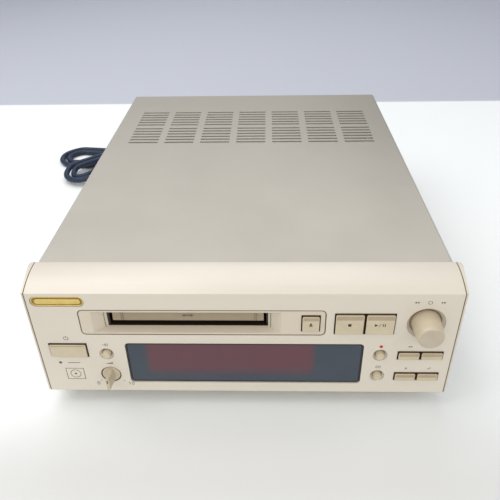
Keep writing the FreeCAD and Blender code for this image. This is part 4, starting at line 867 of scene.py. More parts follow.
class Studio:
    """The photograph's camera, a pale table, a grey wall and soft light."""

    # Camera fitted to the corners of the front plate and the cover, in metres, millimetres and radians
    LOCATION = Vector((0.01164, -0.33215, 0.22978))
    LENS, SENSOR, NEAREST = 40.70, 36.0, 0.01
    PITCH, YAW, ROLL = 0.5845, -0.0375, -0.0215
    TABLE_EDGE = 0.335
    WALL_AWAY, WALL_TALL, REACH = 1.1, 2.5, 3.0
    TARGET = Vector((0, 0, 0.04))
    # Place, edge in metres, power in watts and tint of each soft box
    LAMPS = {
        "window_light": ((-0.6, -0.1, 1.0), 0.9, 6.0, "#FFFEFC"),
        "ceiling_light": ((-0.1, 0.6, 1.2), 1.0, 5.2, "#FFFFFF"),
        "room_fill": ((0.7, -1.1, 1.0), 1.4, 7.0, "#FFFCF6"),
        "front_fill": ((-0.3, -1.3, 0.5), 1.2, 4.8, "#FFFDF8"),
    }
    ROOM_COLOUR, ROOM_STRENGTH = "#F2F4F8", 0.5

    def camera(self) -> None:
        """Places the camera at the photograph's angle."""
        ahead = math.cos(self.PITCH)
        forward = Vector((math.sin(self.YAW) * ahead, math.cos(self.YAW) * ahead, -math.sin(self.PITCH)))
        level = Vector((math.cos(self.YAW), -math.sin(self.YAW), 0.0))
        upright = level.cross(forward)
        right = level * math.cos(self.ROLL) + upright * math.sin(self.ROLL)
        up = upright * math.cos(self.ROLL) - level * math.sin(self.ROLL)
        data = bpy.data.cameras.new("photo_camera")
        data.lens = self.LENS
        data.sensor_width = self.SENSOR
        data.clip_start = self.NEAREST
        camera = bpy.data.objects.new("photo_camera", data)
        rows = Matrix((right, up, -forward)).transposed().to_4x4()
        camera.matrix_world = Matrix.Translation(self.LOCATION) @ rows
        bpy.context.scene.collection.objects.link(camera)
        bpy.context.scene.camera = camera

    def lamp(self, name: str, place: Vector, target: Vector, size: float, power: float, tint: str) -> None:
        """Adds one soft box.

        Args:
            name: the lamp's name.
            place: where it hangs.
            target: what it faces.
            size: its edge in metres.
            power: its power in watts.
            tint: its colour.
        """
        data = bpy.data.lights.new(name, "AREA")
        data.size = size
        data.energy = power
        data.color = linear(tint)[:3]
        lamp = bpy.data.objects.new(name, data)
        lamp.location = place
        lamp.rotation_euler = (target - place).to_track_quat("-Z", "Y").to_euler()
        bpy.context.scene.collection.objects.link(lamp)

    def sheet(self, name: str, corners: Sequence[tuple], material: bpy.types.Material) -> None:
        """Adds one flat part of the stage.

        Args:
            name: its name.
            corners: its corners, in metres.
            material: its material.
        """
        data = bpy.data.meshes.new(name)
        data.from_pydata(corners, [], [range(len(corners))])
        data.materials.append(material)
        piece = bpy.data.objects.new(name, data)
        bpy.context.scene.collection.objects.link(piece)

    def build(self, palette: Palette) -> None:
        """Sets up the stage and the lamps.

        Args:
            palette: the finishes.
        """
        reach, wall, tall = self.REACH, self.WALL_AWAY, self.WALL_TALL
        table = ((-reach, -reach, 0), (reach, -reach, 0), (reach, wall, 0), (-reach, wall, 0))
        upright = ((-reach, wall, 0), (reach, wall, 0), (reach, wall, tall), (-reach, wall, tall))
        self.sheet("tabletop", table, palette.get("floor"))
        self.sheet("wall", upright, palette.get("wall"))
        for name, (place, size, power, tint) in self.LAMPS.items():
            self.lamp(name, Vector(place), self.TARGET, size, power, tint)
        world = bpy.data.worlds.new("room")
        world.use_nodes = True
        background = world.node_tree.nodes["Background"]
        background.inputs["Color"].default_value = linear(self.ROOM_COLOUR)
        background.inputs["Strength"].default_value = self.ROOM_STRENGTH
        bpy.context.scene.world = world
        bpy.context.scene.view_settings.view_transform = "Standard"


# Mains lead

@dataclass
class MainsLead:
    """The cord with its gland, tie and plug, in millimetres of the front frame."""

    shop: Workshop
    gland: tuple[float, float, float] = (-48.0, 284.7, 14.0)
    thick: float = 5.0
    pitch: float = 6.5
    floor: float = -7.4
    waist_lift: float = 1.1
    right: Point2 = (-25.0, 306.0)
    far: Point2 = (-170.0, 306.0)
    near: Point2 = (-156.0, 268.0)
    waist: Point2 = (-122.0, 300.0)
    radius: float = 21.0
    waist_half: float = 17.0
    loops: int = 2
    fan_lift: float = 5.8
    fan_tip_lift: float = 1.0
    tie_wide: float = 9.0
    tie_sheet: float = 0.75
    twist_wide: float = 7.0
    twist_reach: tuple[float, float, float] = (5.0, 6.0, 0.5)
    plug: tuple[float, float, float] = (43.0, 284.6, -2.6)
    blade_apart: float = 12.7
    gland_long: float = 22.0
    rib_count: int = 6
    rib_pitch: float = 3.0

    # Points of the free lead from the gland, and of the tail from the hank
    LEAD_STEPS = ((0, 15.3, -0.5), (12, 26.3, -2.0), (42, 16.3, -7.0), (68.3, 10.3, -20.6),
                  (80, 22.0, -21.4), (80, 38.6, -21.4), (68.3, 50.3, -21.4), (51, 48.3, -21.4))
    TAIL_STEPS = ((12, 0, -0.8), (28, -2, -5.6), (46, -2, -4.0), (60, -2, -1.8))
    # The turn in degrees of each corner of a half turn's outline, and its share: 0 start, 1 tip, 2 end
    CORNERS = ((0.0, 0.0), (22.5, 0.25), (67.5, 0.75), (112.5, 1.25), (157.5, 1.75), (180.0, 2.0))
    HALF_CORNER = 22.5
    # Along, width, height and corner of the plug's outlines from its neck to its face, and of a blade's
    GRIP = ((0.0, 5.4, 5.4, 2.6), (7.5, 7.4, 7.4, 3.6), (9.0, 9.0, 8.0, 3.8), (12.0, 16.0, 12.0, 4.0),
            (15.0, 18.4, 13.4, 4.0), (22.0, 17.6, 12.6, 4.0), (29.0, 20.4, 14.0, 3.4),
            (32.2, 21.0, 14.4, 3.0), (33.0, 20.0, 13.4, 2.6))
    BLADE = ((32.8, 1.5, 6.3), (48.6, 1.5, 6.3), (50.0, 0.9, 4.6))

    def bend(self, centre: Vector, out: Vector, radii: Sequence[float],
             lifts: Sequence[float]) -> list[Vector]:
        """The corners of a half turn, round which the spline bends.

        Args:
            centre: the turn's centre.
            out: the direction of its tip.
            radii: the radius at its start, tip and end.
            lifts: the height at its start, tip and end.

        Returns:
            Its points, start and end included.
        """
        aside = Vector((out.y, -out.x, 0))
        points = []
        for turn, share in self.CORNERS:
            first = int(min(share, 1.99))
            part = share - first
            radius = radii[first] * (1 - part) + radii[first + 1] * part
            lift = lifts[first] * (1 - part) + lifts[first + 1] * part
            if 0 < turn < 180:
                radius /= math.cos(math.radians(self.HALF_CORNER))
            angle = math.radians(turn)
            place = centre + aside * (radius * math.cos(angle)) + out * (radius * math.sin(angle))
            points.append(Vector((place.x, place.y, self.floor + lift)))
        return points

    def hank(self) -> list[Vector]:
        """The hank's points: loops that spiral in on the floor, climb and spiral out.

        Returns:
            The points in the front frame, in millimetres.
        """
        turn_back = 8 * self.loops
        right = Vector((*self.right, 0.0))
        waist = Vector((*self.waist, 0.0))
        ahead = Vector((-1.0, 0.0, 0.0))
        points: list[Vector] = []

        def radius(step: int, wide: float) -> float:
            """The radius at a step of an eighth of a loop, from its widest."""
            wound = step / 8 if step <= turn_back else (2 * turn_back - step) / 8
            return wide - self.pitch * wound

        for start in range(0, 2 * turn_back - 1, 8):
            outward = start >= turn_back
            level = self.pitch if outward else 0.0
            left = Vector((*(self.near if outward else self.far), 0.0))
            lean = (left - waist).normalized()
            mean = (lean + ahead).normalized()
            across = Vector((mean.y, -mean.x, 0.0))
            lifts = (self.fan_lift, self.fan_tip_lift, self.fan_lift) if outward else (0.0, 0.0, 0.0)
            rise = Vector((0, 0, self.floor + level + self.waist_lift))
            if start == 0:
                points.append(right + Vector((0, self.radius, self.floor)))
            points.append(waist + across * radius(start + 1, self.waist_half) + rise)
            points += self.bend(left, lean, [radius(start + turn, self.radius) for turn in (2, 3, 4)], lifts)
            points.append(waist - across * radius(start + 5, self.waist_half) + rise)
            if start + 8 > 2 * turn_back - 2:
                points.append(right + Vector((0, -radius(start + 6, self.radius), self.floor + level)))
                break
            climb = self.pitch if start + 8 == turn_back else 0.0
            heights = (level, level + climb / 2, level + climb)
            radii = [radius(start + turn, self.radius) for turn in (6, 7, 8)]
            points += self.bend(right, -ahead, radii, heights)
        return points

    def route(self) -> list[Vector]:
        """The whole cord's points from the gland to the plug.

        Returns:
            The points in the front frame, in millimetres.
        """
        start = Vector(self.gland)
        hank = self.hank()
        join = hank[0] + Vector((13.0, 0, 0))
        lead = [start] + [start + Vector(step) for step in self.LEAD_STEPS] + [join]
        tail = [hank[-1] + Vector(step) for step in self.TAIL_STEPS] + [Vector(self.plug)]
        return lead + hank + tail

    def build(self) -> None:
        """Makes the cord, the gland, the tie and the plug."""
        at = self.shop.front.at
        points = [at(*point) for point in self.route()]
        curve = bpy.data.curves.new("mains_cord", "CURVE")
        curve.dimensions = "3D"
        curve.bevel_depth = self.thick / 2 * MM
        curve.bevel_resolution = 4
        curve.resolution_u = 8
        curve.use_fill_caps = True
        spline = curve.splines.new("NURBS")
        spline.points.add(len(points) - 1)
        for knot, point in zip(spline.points, points):
            knot.co = (*point, 1.0)
        spline.order_u = 3
        spline.use_endpoint_u = True
        curve.materials.append(self.shop.palette.get("cord"))
        cord = bpy.data.objects.new("mains_cord", curve)
        bpy.context.scene.collection.objects.link(cord)
        self.shop.settle(cord, "cabinet", "cord_rubber", ("cord_lead", "cord_hank", "cord_tail"))
        pieces = [self._plug(), self._tie()]
        self._gland()
        tuple(points[0])

    def _gland(self) -> None:
        """Ribbed strain relief with its flange."""
        across, end, up = self.gland
        profile = [(-1.0, 4.0), (0.0, 4.0), (0.0, 6.6), (0.4, 7.0), (2.1, 7.0), (2.5, 6.6), (2.5, 4.0)]
        for rib in range(self.rib_count):
            start = 3.4 + self.rib_pitch * rib
            profile += [(start, 3.1), (start + 0.9, 3.1), (start + 1.0, 4.0), (start + 1.9, 4.0)]
        profile += [(self.gland_long - 0.6, 3.9), (self.gland_long, 3.3)]
        self.shop.turning("cord_gland_ribbed", "plug", "cabinet",
                          self.shop.front.at(across, end - self.gland_long, up), profile, 32,
                          "black_plastic", ("cord_gland",))

    def _tie(self) -> bpy.types.Object:
        """Band round the hank's waist, with its twist.

        Returns:
            The band.
        """
        low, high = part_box("cord_tie")
        middle = (low + high) / 2
        wide, tall = (high.y - low.y) / MM, (high.z - low.z) / MM
        half = self.tie_wide / 2
        mesh = bmesh.new()
        origin = middle - Vector((half * MM, 0, 0))
        outer = [origin + Vector((0, y, z)) * MM for y, z in rounded(wide, tall, 4.0)]
        wall = 2 * self.tie_sheet
        inner = [origin + Vector((0, y, z)) * MM for y, z in rounded(wide - wall, tall - wall, 3.3)]
        self.shop.ring(mesh, outer, inner, Vector((self.tie_wide * MM, 0, 0)))
        for side in (-1, 1):
            near = [middle + Vector((side * 1.6, y, tall / 2 - 0.3 + z)) * MM
                    for y, z in rounded(self.twist_wide, 1.2, 0.5, 3)]
            aside, back, up = self.twist_reach
            far = [point + Vector((side * aside, back, up)) * MM for point in near]
            self.shop.loft(mesh, [near, far])
        return self.shop.finish("cord_tie_band", mesh, "plug", "cabinet", "cord_rubber", ("cord_tie",))

    def _plug(self) -> bpy.types.Object:
        """Two-pin plug: neck, waisted grip and flat blades.

        Returns:
            The plug.
        """
        at = self.shop.front.at
        across, back, up = self.plug
        mesh, blades = bmesh.new(), bmesh.new()
        self.shop.loft(mesh, [
            [at(across + along, back + y, up + z) for y, z in rounded(wide, tall, corner)]
            for along, wide, tall, corner in self.GRIP
        ])
        plug = self.shop.finish("mains_plug", mesh, "plug", "cabinet", "cord_rubber", ("cord_plug",))
        for side in (-1, 1):
            aside = side * self.blade_apart / 2
            self.shop.loft(blades, [
                [at(across + along, back + aside + y, up + z) for y, z in rounded(wide, tall, 0.4, 3)]
                for along, wide, tall in self.BLADE
            ])
        self.shop.finish("plug_blades", blades, "nickel", "cabinet", "zinc_steel")
        return plug


# Printed marks

class Symbol(Enum):
    """Generic symbols: each mark's kind, its lengths from the symbol's centre and its angles in degrees."""

    STOP = (("bar", (0, 0, 1.5, 1.5), ()),)
    PLAY = (("wedge", (-1.8, 0, 1.6), (0,)), ("bar", (-0.2, 0, 0.22, 1.9), (-20,)),
            ("bar", (1.25, 0, 0.4, 1.6), ()), ("bar", (2.15, 0, 0.4, 1.6), ()))
    EJECT = (("wedge", (0, 0.35, 1.7), (90,)), ("bar", (0, -1.0, 1.7, 0.4), ()))
    REWIND = (("wedge", (0.7, 0, 1.35), (180,)), ("wedge", (-0.7, 0, 1.35), (180,)))
    FORWARD = (("wedge", (-0.7, 0, 1.35), (0,)), ("wedge", (0.7, 0, 1.35), (0,)))
    CROSS = (("bar", (0, 0, 1.9, 0.34), (45,)), ("bar", (0, 0, 1.9, 0.34), (-45,)))
    TICK = (("bar", (-0.55, -0.25, 1.0, 0.34), (-45,)), ("bar", (0.45, 0.1, 1.9, 0.34), (50,)))
    POWER = (("arc", (0, 0, 1.0, 0.32), (120, 420)), ("bar", (0, 0.85, 0.34, 1.4), ()))
    SOURCE = (("frame", (1.0, 0, 2.0, 2.0, 0.3), ()), ("bar", (-0.9, 0, 2.2, 0.3), ()),
              ("wedge", (0.4, 0, 1.0), (0,)))
    SCREEN = (("frame", (0, 0, 3.2, 1.9, 0.28), ()), ("bar", (0, 0, 1.7, 0.28), ()))
    LEVEL = (("ramp", (0, 0, 2.6, -0.6, 0.8), ()),)
    DISC = (("frame", (0, 0, 9.2, 7.6, 0.3), ()), ("arc", (0, 0, 2.4, 0.3), (0, 360)),
            ("dot", (0, 0, 0.6), ()))
    INSERT = (("bar", (0, 0, 3.4, 0.3), ()), ("wedge", (2.1, 0, 1.2), (0,)),
              ("wedge", (-2.1, 0, 1.2), (180,)))
    TURN = (("arc", (0, 0, 0.8, 0.22), (0, 360)),)
    ZERO = (("bar", (-0.5, 0, 0.28, 1.1), ()), ("bar", (0.5, 0, 0.28, 1.1), ()),
            ("arc", (0, 0.5, 0.36, 0.28), (0, 180)), ("arc", (0, -0.5, 0.36, 0.28), (180, 360)))
    ONE = (("bar", (0, 0, 0.3, 1.7), ()), ("bar", (-0.3, 0.6, 0.6, 0.28), (35,)))


class Prints:
    """Flat printed marks that are drawn in the front frame and laid on a face."""

    THICK = 0.03
    ARC_STEP = 12
    DOT_STEPS = 20

    def __init__(self, shop: Workshop) -> None:
        """Starts an empty sheet of marks.

        Args:
            shop: makes and finishes the pieces.
        """
        self.shop = shop
        self.shapes: list[list[Point2]] = []

    def bar(self, across: float, up: float, wide: float, tall: float, turn: float = 0.0) -> None:
        """Adds a bar about its centre."""
        self.shapes.append(moved(oblong(wide, tall), across, up, turn))

    def wedge(self, across: float, up: float, size: float, turn: float) -> None:
        """Adds a triangle that points to the right before its turn."""
        half = size / 2
        self.shapes.append(moved([(-half, -half), (half, 0), (-half, half)], across, up, turn))

    def ramp(self, across: float, up: float, half: float, low: float, high: float) -> None:
        """Adds a wedge that widens to the right."""
        self.shapes.append(moved([(-half, low), (half, low), (half, high)], across, up))

    def dot(self, across: float, up: float, radius: float) -> None:
        """Adds a filled disc."""
        self.shapes.append(moved(disc(radius, self.DOT_STEPS), across, up))

    def arc(self, across: float, up: float, radius: float, thick: float, start: float, end: float) -> None:
        """Adds an arc as short bars.

        Args:
            across: its centre's place.
            up: its centre's height.
            radius: its inner radius.
            thick: the line's thickness.
            start: where it starts, in degrees from the right.
            end: where it ends.
        """
        count = max(6, int(abs(end - start) / self.ARC_STEP))
        turns = [math.radians(start + (end - start) * step / count) for step in range(count + 1)]
        for first, last in zip(turns, turns[1:]):
            ends = ((radius, first), (radius + thick, first), (radius + thick, last), (radius, last))
            self.shapes.append([
                (across + reach * math.cos(angle), up + reach * math.sin(angle)) for reach, angle in ends
            ])

    def frame(self, across: float, up: float, wide: float, tall: float, thick: float) -> None:
        """Adds an open rectangle of four bars.

        Args:
            across: its centre's place.
            up: its centre's height.
            wide: its full width.
            tall: its full height.
            thick: the line's thickness.
        """
        for side in (-1, 1):
            self.bar(across, up + side * (tall - thick) / 2, wide, thick)
            self.bar(across + side * (wide - thick) / 2, up, thick, tall - 2 * thick)

    def draw(self, symbol: Symbol, across: float, up: float, scale: float = 1.0) -> None:
        """Adds a generic symbol.

        Args:
            symbol: what it shows.
            across: its centre's place.
            up: its centre's height.
            scale: its size.
        """
        for kind, (aside, over, *sizes), angles in symbol.value:
            add = getattr(self, kind)
            add(across + aside * scale, up + over * scale, *(size * scale for size in sizes), *angles)

    def build(self, name: str, depth: float, finish: str, body: str) -> None:
        """Makes one piece of all the marks.

        Args:
            name: the piece's name.
            depth: how far behind the front plate's face the print lies.
            finish: the ink's key.
            body: the body that it rides on.
        """
        mesh = bmesh.new()
        for shape in self.shapes:
            self.shop.stack(mesh, 0, 0, [(depth, shape), (depth - self.THICK, shape)])
        self.shop.finish(name, mesh, finish, body)


# Front controls

@dataclass(frozen=True)
class KeyFace:
    """What tells one square key from the next."""

    band_share: float
    symbol: Optional[Symbol] = None
    symbol_scale: float = 1.0
    flange_front: float = 2.8


@dataclass
class KeySet:
    """The square and round keys, their printed symbols and the painted shade in their openings."""

    shop: Workshop
    proud: float = 1.0
    flange_over: float = 1.25
    flange_deep: float = 1.0
    corner: float = 0.7
    corner_steps: int = 4
    shrink: float = 0.12
    gap: float = 0.45
    cap_start: float = 0.35
    band_drop: float = 0.3
    band_inset: float = 0.35
    band_corner: float = 0.25
    well_front: float = 0.12
    well_deep: float = 2.2
    well_corner: float = 0.9
    well_shade_thick: float = 0.06
    smooth: float = 28.0
    steps: int = 40

    SQUARE = {
        "power_button": KeyFace(0.1),
        "stop_button": KeyFace(0.22, Symbol.STOP),
        "play_button": KeyFace(0.22, Symbol.PLAY),
        "eject_button": KeyFace(0.22, Symbol.EJECT, 0.9, 3.8),
        "rewind_button": KeyFace(0.42),
        "forward_button": KeyFace(0.42),
        "edit_button": KeyFace(0.42),
        "confirm_button": KeyFace(0.42),
    }
    ROUND = ("record_button", "display_button", "input_button")

    # Depth behind the key's face and inset of each outline, from the flank to the dished middle
    CAP = ((0.36, 0.0), (0.25, -0.02), (0.12, 0.06), (0.02, 0.22), (0.0, 0.4), (0.05, 1.2))
    # Depth behind the front plate's face and radius, from the flange to the dished middle
    ROUND_CAP = ((3.8, 3.1), (2.8, 3.1), (2.79, 2.0), (-1.15, 2.0), (-1.38, 1.9), (-1.5, 1.66), (-1.46, 1.3),
                 (-1.36, 0.7), (-1.33, 0.2))
    # Depth behind the front plate's face and radius of the painted shade on the opening's dish
    DISH = ((1.72, 2.35), (1.5, 2.4), (1.3, 3.2), (0.06, 3.5), (0.06, 3.44), (1.2, 3.1), (1.4, 2.3))

    def build(self) -> None:
        """Makes every key."""
        for name, face in self.SQUARE.items():
            self._square(name, face)
        for name in self.ROUND:
            self._round(name)

    def _square(self, name: str, face: KeyFace) -> None:
        """One key with a flank in painted shade, a bevelled cap and a shaded upper band, in its opening with
        a band of painted shade.

        Args:
            name: the node and body that it stands for.
            face: its band, symbol and flange.
        """
        shop = self.shop
        seat = shop.front.seat(name)
        wide = seat.wide - 2 * self.shrink
        flange = seat.tall - 2 * self.shrink
        tall = flange - 2 * self.flange_over
        front = face.flange_front
        heights = ((front + self.flange_deep, flange), (front, flange), (front - TINY, tall),
                   (self.cap_start - self.proud, tall))
        # Painted shade: the key's body behind its cap is drawn dark brown, as its sides lie in the opening's
        # shade
        shop.moulding(name + "_flank", "flank", name, seat.across, seat.up, [
            (depth, rounded(wide, height, self.corner, self.corner_steps)) for depth, height in heights
        ], "key_enamel", (name,), self.smooth)
        shop.moulding(name + "_cap", "key", name, seat.across, seat.up, [
            (depth - self.proud, rounded(wide - 2 * inset, tall - 2 * inset, self.corner, self.corner_steps))
            for depth, inset in self.CAP
        ], "key_enamel", (), self.smooth)
        self._band(name, seat, wide, tall, face.band_share)
        # Painted shade: a dark band on the wall of the key's opening, where shade falls in the gap
        reach = 2 * (self.gap + self.shrink)
        inner = reach - 2 * self.well_shade_thick
        shop.border(name + "_well", "flank", seat.across, seat.up, self.well_front, self.well_deep,
                    rounded(wide + reach, tall + reach, self.well_corner, self.corner_steps),
                    rounded(wide + inner, tall + inner, self.well_corner - 0.05, self.corner_steps))
        if face.symbol:
            prints = Prints(shop)
            prints.draw(face.symbol, seat.across, seat.up, face.symbol_scale)
            prints.build(name + "_symbol", Prints.THICK - self.proud, "ink_dark", name)

    def _band(self, name: str, seat: Seat, wide: float, tall: float, share: float) -> None:
        """Shaded strip along a key's upper edge.

        Args:
            name: the key's name.
            seat: where the key sits.
            wide: the key's width.
            tall: the key's height.
            share: the strip's share of the height.
        """
        high = tall * share
        middle = seat.up + tall / 2 - self.band_drop - high / 2
        broad = wide - 2 * self.band_inset
        self.shop.moulding(name + "_band", "key_shade", name, seat.across, middle, [
            (0.1 - self.proud, rounded(broad, high, self.band_corner, 3)),
            (-0.02 - self.proud, rounded(broad - 0.1, high - 0.1, self.band_corner, 3)),
        ], "key_enamel")

    def _round(self, name: str) -> None:
        """One small round key with a dished face, in its dished opening, which is drawn dark with painted
        shade.

        Args:
            name: the node and body that it stands for.
        """
        seat = self.shop.front.seat(name)
        centre = self.shop.front.at(seat.across, 0, seat.up)
        self.shop.turning(name + "_cap", "key", name, centre, self.ROUND_CAP, self.steps,
                          "key_enamel", (name,), self.smooth)
        # Painted shade: a dark brown sheet on the opening's dished slope
        self.shop.turning(name + "_dish", "dish", "cabinet", centre, self.DISH, self.steps)


@dataclass
class Knobs:
    """The jog knob and the recording level knob, with painted shade in their openings."""

    shop: Workshop
    jog: Point2 = (85.05, 45.4)
    level: Point2 = (-67.2, 11.5)
    jog_steps: int = 72
    dish_steps: int = 64
    level_steps: int = 56
    ring_steps: int = 48
    ring_share: float = 0.985
    smooth: float = 40.0

    # Depth behind the front plate's face and radius of each turned piece
    JOG_SKIRT = ((2.0, 3.1), (2.0, 6.8), (-0.4, 6.66), (-8.9, 6.16), (-9.7, 6.08), (-10.15, 5.9),
                 (-10.42, 5.6), (-10.5, 5.25), (-10.38, 5.1), (-10.38, 4.0))
    JOG_FACE = ((-10.3, 5.06), (-10.44, 5.06), (-10.47, 4.9), (-10.45, 3.4), (-10.43, 1.6), (-10.42, 0.2))
    JOG_DISH = ((1.74, 7.42), (1.72, 8.2), (1.3, 8.75), (0.05, 8.98), (0.05, 8.9), (1.2, 8.6), (1.6, 8.1),
                (1.62, 7.42))
    LEVEL_DISC = ((2.6, 2.0), (2.6, 4.6), (0.4, 4.6), (0.1, 4.5), (0.0, 4.2), (0.05, 1.0))
    # Depth, width, height and corner of each of the tapered grip's outlines
    GRIP = ((0.2, 3.4, 8.7, 1.6), (-1.0, 3.2, 8.5, 1.5), (-5.6, 2.3, 7.6, 1.1), (-7.0, 2.0, 7.2, 0.95),
            (-7.35, 1.7, 6.9, 0.8), (-7.5, 1.1, 6.3, 0.5))

    def build(self) -> None:
        """Makes both knobs."""
        shop = self.shop
        centre = shop.front.at(self.jog[0], 0, self.jog[1])
        shop.turning("jog_knob_skirt", "knob", "jog_knob", centre, self.JOG_SKIRT, self.jog_steps,
                     "key_enamel", ("jog_knob",), self.smooth)
        shop.turning("jog_knob_face", "knob_face", "jog_knob", centre, self.JOG_FACE, self.jog_steps,
                     "key_enamel")
        # Painted shade: a dark brown sheet on the dished slope round the jog knob
        shop.turning("jog_dish", "dish", "cabinet", centre, self.JOG_DISH, self.dish_steps)
        # Painted shade: dark bands on the walls of both knobs' openings
        self._ring("jog_shadow_ring", self.jog, 7.38, 1.8, 2.6)
        self._ring("level_shadow_ring", self.level, 5.08, 0.1, 2.5)
        self._level()

    def _ring(self, name: str, middle: Point2, radius: float, depth: float, deep: float) -> None:
        """Painted shade: a dark band on the wall of a round opening.

        Args:
            name: the piece's name.
            middle: the opening's middle on the front plate.
            radius: the opening's radius.
            depth: where the band starts behind the face.
            deep: how far back it reaches from there.
        """
        self.shop.border(name, "flank", *middle, depth, deep, disc(radius, self.ring_steps),
                         disc(radius * self.ring_share, self.ring_steps))

    def _level(self) -> None:
        """Disc with a tapered grip and a pointer line."""
        across, up = self.level
        mesh = bmesh.new()
        self.shop.lathe(mesh, self.shop.front.at(across, 0, up), "Y", self.LEVEL_DISC, self.level_steps)
        self.shop.stack(mesh, across, up, [
            (depth, rounded(wide, tall, corner, 5)) for depth, wide, tall, corner in self.GRIP
        ])
        self.shop.finish("level_knob_grip", mesh, "knob", "level_knob", "key_enamel", ("level_knob",),
                         self.smooth)
        line = rounded(0.5, 2.2, 0.2, 3)
        self.shop.moulding("level_pointer_line", "ink_dark", "level_knob", across, up + 2.0,
                           [(-7.4, line), (-7.53, line)])


@dataclass
class FrontPlate:
    """The badge, window, flap lines, lamp, dark joints and prints of the front."""

    shop: Workshop
    flap_face: float = 5.36
    flap_middle: float = 45.2
    flap_lines: tuple = (-58.5, -57.6, 5.5, 6.4)
    flap_arrow: Point2 = (-26.6, 45.4)
    plate_tall: float = 62.6
    brow_radius: float = 38.0
    brow_deep: float = 19.2
    brow_rise: float = 4.3
    brow_steps: int = 8
    seam_across: float = 100.2
    seam_proud: float = 0.04
    bezel_middle: Point2 = (-19.25, 45.6)
    record_mark: Point2 = (65.9, 31.0)

    # Depth behind the badge's face and inset of its field, then of its raised bar
    BADGE_FIELD = ((0.15, 0.0), (0.1, 0.3), (0.28, 0.7), (0.3, 1.4))
    BADGE_BAR = ((0.32, 0.0), (0.0, 0.1), (-0.12, 0.4))
    # Depth, inset and corner of the window's outlines, from its flange to its face
    PANE = ((3.5, -2.75, 2.0), (2.5, -2.75, 2.0), (2.49, 0.0, 1.75), (0.75, 0.0, 1.75), (0.55, 0.12, 1.65),
            (0.5, 0.4, 1.4))
    LENS = ((8.4, 1.5), (2.8, 1.5), (2.79, 0.75), (0.15, 0.75), (-0.08, 0.6), (-0.2, 0.35), (-0.24, 0.08))
    # Across, back and up of the corners of a seam's section
    SEAM = ((-0.2, 0, 0), (0.22, 0, 0), (0.22, 0.6, -0.6), (-0.2, 0.6, -0.6))
    # Symbols that stand in place of words: across, up and scale
    MARKS = (
        (Symbol.POWER, -85.65, 35.6, 0.95),
        (Symbol.DISC, -85.2, 11.8, 1.0),
        (Symbol.SOURCE, -67.4, 31.4, 0.7),
        (Symbol.LEVEL, -67.2, 19.2, 0.75),
        (Symbol.ZERO, -74.6, 5.2, 1.0),
        (Symbol.ONE, -58.6, 5.2, 1.0),
        (Symbol.ZERO, -57.0, 5.2, 1.0),
        (Symbol.REWIND, 79.0, 57.9, 0.8),
        (Symbol.TURN, 85.05, 57.9, 1.0),
        (Symbol.FORWARD, 91.1, 57.9, 0.8),
        (Symbol.REWIND, 79.6, 31.0, 0.75),
        (Symbol.FORWARD, 90.6, 31.0, 0.75),
        (Symbol.SCREEN, 65.8, 17.6, 0.75),
        (Symbol.CROSS, 79.4, 16.7, 0.8),
        (Symbol.TICK, 90.5, 16.7, 0.8),
    )
    # Across, up, width, height and turn of the line by the lamp and the two ticks of the level scale
    STROKES = ((-84.6, 19.4, 6.0, 0.35, 0), (-73.0, 7.0, 0.9, 0.25, 40), (-61.2, 7.0, 0.9, 0.25, -40))

    def build(self) -> None:
        """Makes every dressed piece of the front."""
        self._badge()
        self._window()
        self._flap()
        self._lamp()
        self._seams()
        self._joint()
        self._prints()

    def _badge(self) -> None:
        """Bare gold pill: a sunk darker field, a raised bar and a bright rim."""
        shop = self.shop
        seat = shop.front.seat("name_plate")
        wide, tall, front = seat.wide, seat.tall, seat.front
        layers = ((seat.back, 0.0), *((front + depth, inset) for depth, inset in self.BADGE_FIELD))
        shop.moulding("badge_field", "gold_dark", "cabinet", seat.across, seat.up, [
            (depth, rounded(wide - 2 * inset, tall - 2 * inset, tall / 2 - inset, 10))
            for depth, inset in layers
        ], "gold_plate", ("name_plate",))
        bar_wide, bar_tall, drop = wide - 3.0, 2.9, 0.35
        shop.moulding("badge_bar", "gold", "cabinet", seat.across, seat.up - drop, [
            (front + depth, rounded(bar_wide - 2 * inset, bar_tall - 2 * inset, bar_tall / 2 - inset, 8))
            for depth, inset in self.BADGE_BAR
        ], "gold_plate")
        shop.border("badge_rim", "gold", seat.across, seat.up, front + 0.2, -0.35,
                    rounded(wide - 0.1, tall - 0.1, tall / 2, 10),
                    rounded(wide - 1.2, tall - 1.2, tall / 2 - 0.6, 10), "gold_plate")

    def _window(self) -> None:
        """Smoked window with its dark printed border."""
        seat = self.shop.front.seat("display_window")
        flange = 2.75
        wide, tall = seat.wide - 2 * flange, seat.tall - 2 * flange
        self.shop.moulding("window_pane", "window", "cabinet", seat.across, seat.up, [
            (depth, rounded(wide - 2 * inset, tall - 2 * inset, corner, 8))
            for depth, inset, corner in self.PANE
        ], "window_acrylic", ("display_window",))
        self.shop.border("window_border", "outline", seat.across, seat.up, 0.49, -Prints.THICK,
                         rounded(wide - 0.6, tall - 0.6, 1.5, 8), rounded(wide - 1.6, tall - 1.6, 1.0, 8),
                         "window_acrylic")

    def _flap(self) -> None:
        """Fine upright lines near both ends of the flap, and a plain arrow."""
        lines = Prints(self.shop)
        for across in self.flap_lines:
            lines.bar(across, self.flap_middle, 0.16, 5.0)
        lines.build("flap_lines", self.flap_face, "ink", "slot_flap")
        arrow = Prints(self.shop)
        arrow.draw(Symbol.INSERT, *self.flap_arrow)
        arrow.build("flap_arrow", self.flap_face + TINY, "ink", "slot_flap")

    def _lamp(self) -> None:
        """Domed lens of the standby lamp."""
        seat = self.shop.front.seat("standby_lamp")
        centre = self.shop.front.at(seat.across, 0, seat.up)
        self.shop.turning("lamp_lens", "lamp", "cabinet", centre, self.LENS, 24,
                          "lamp_resin", ("standby_lamp",))

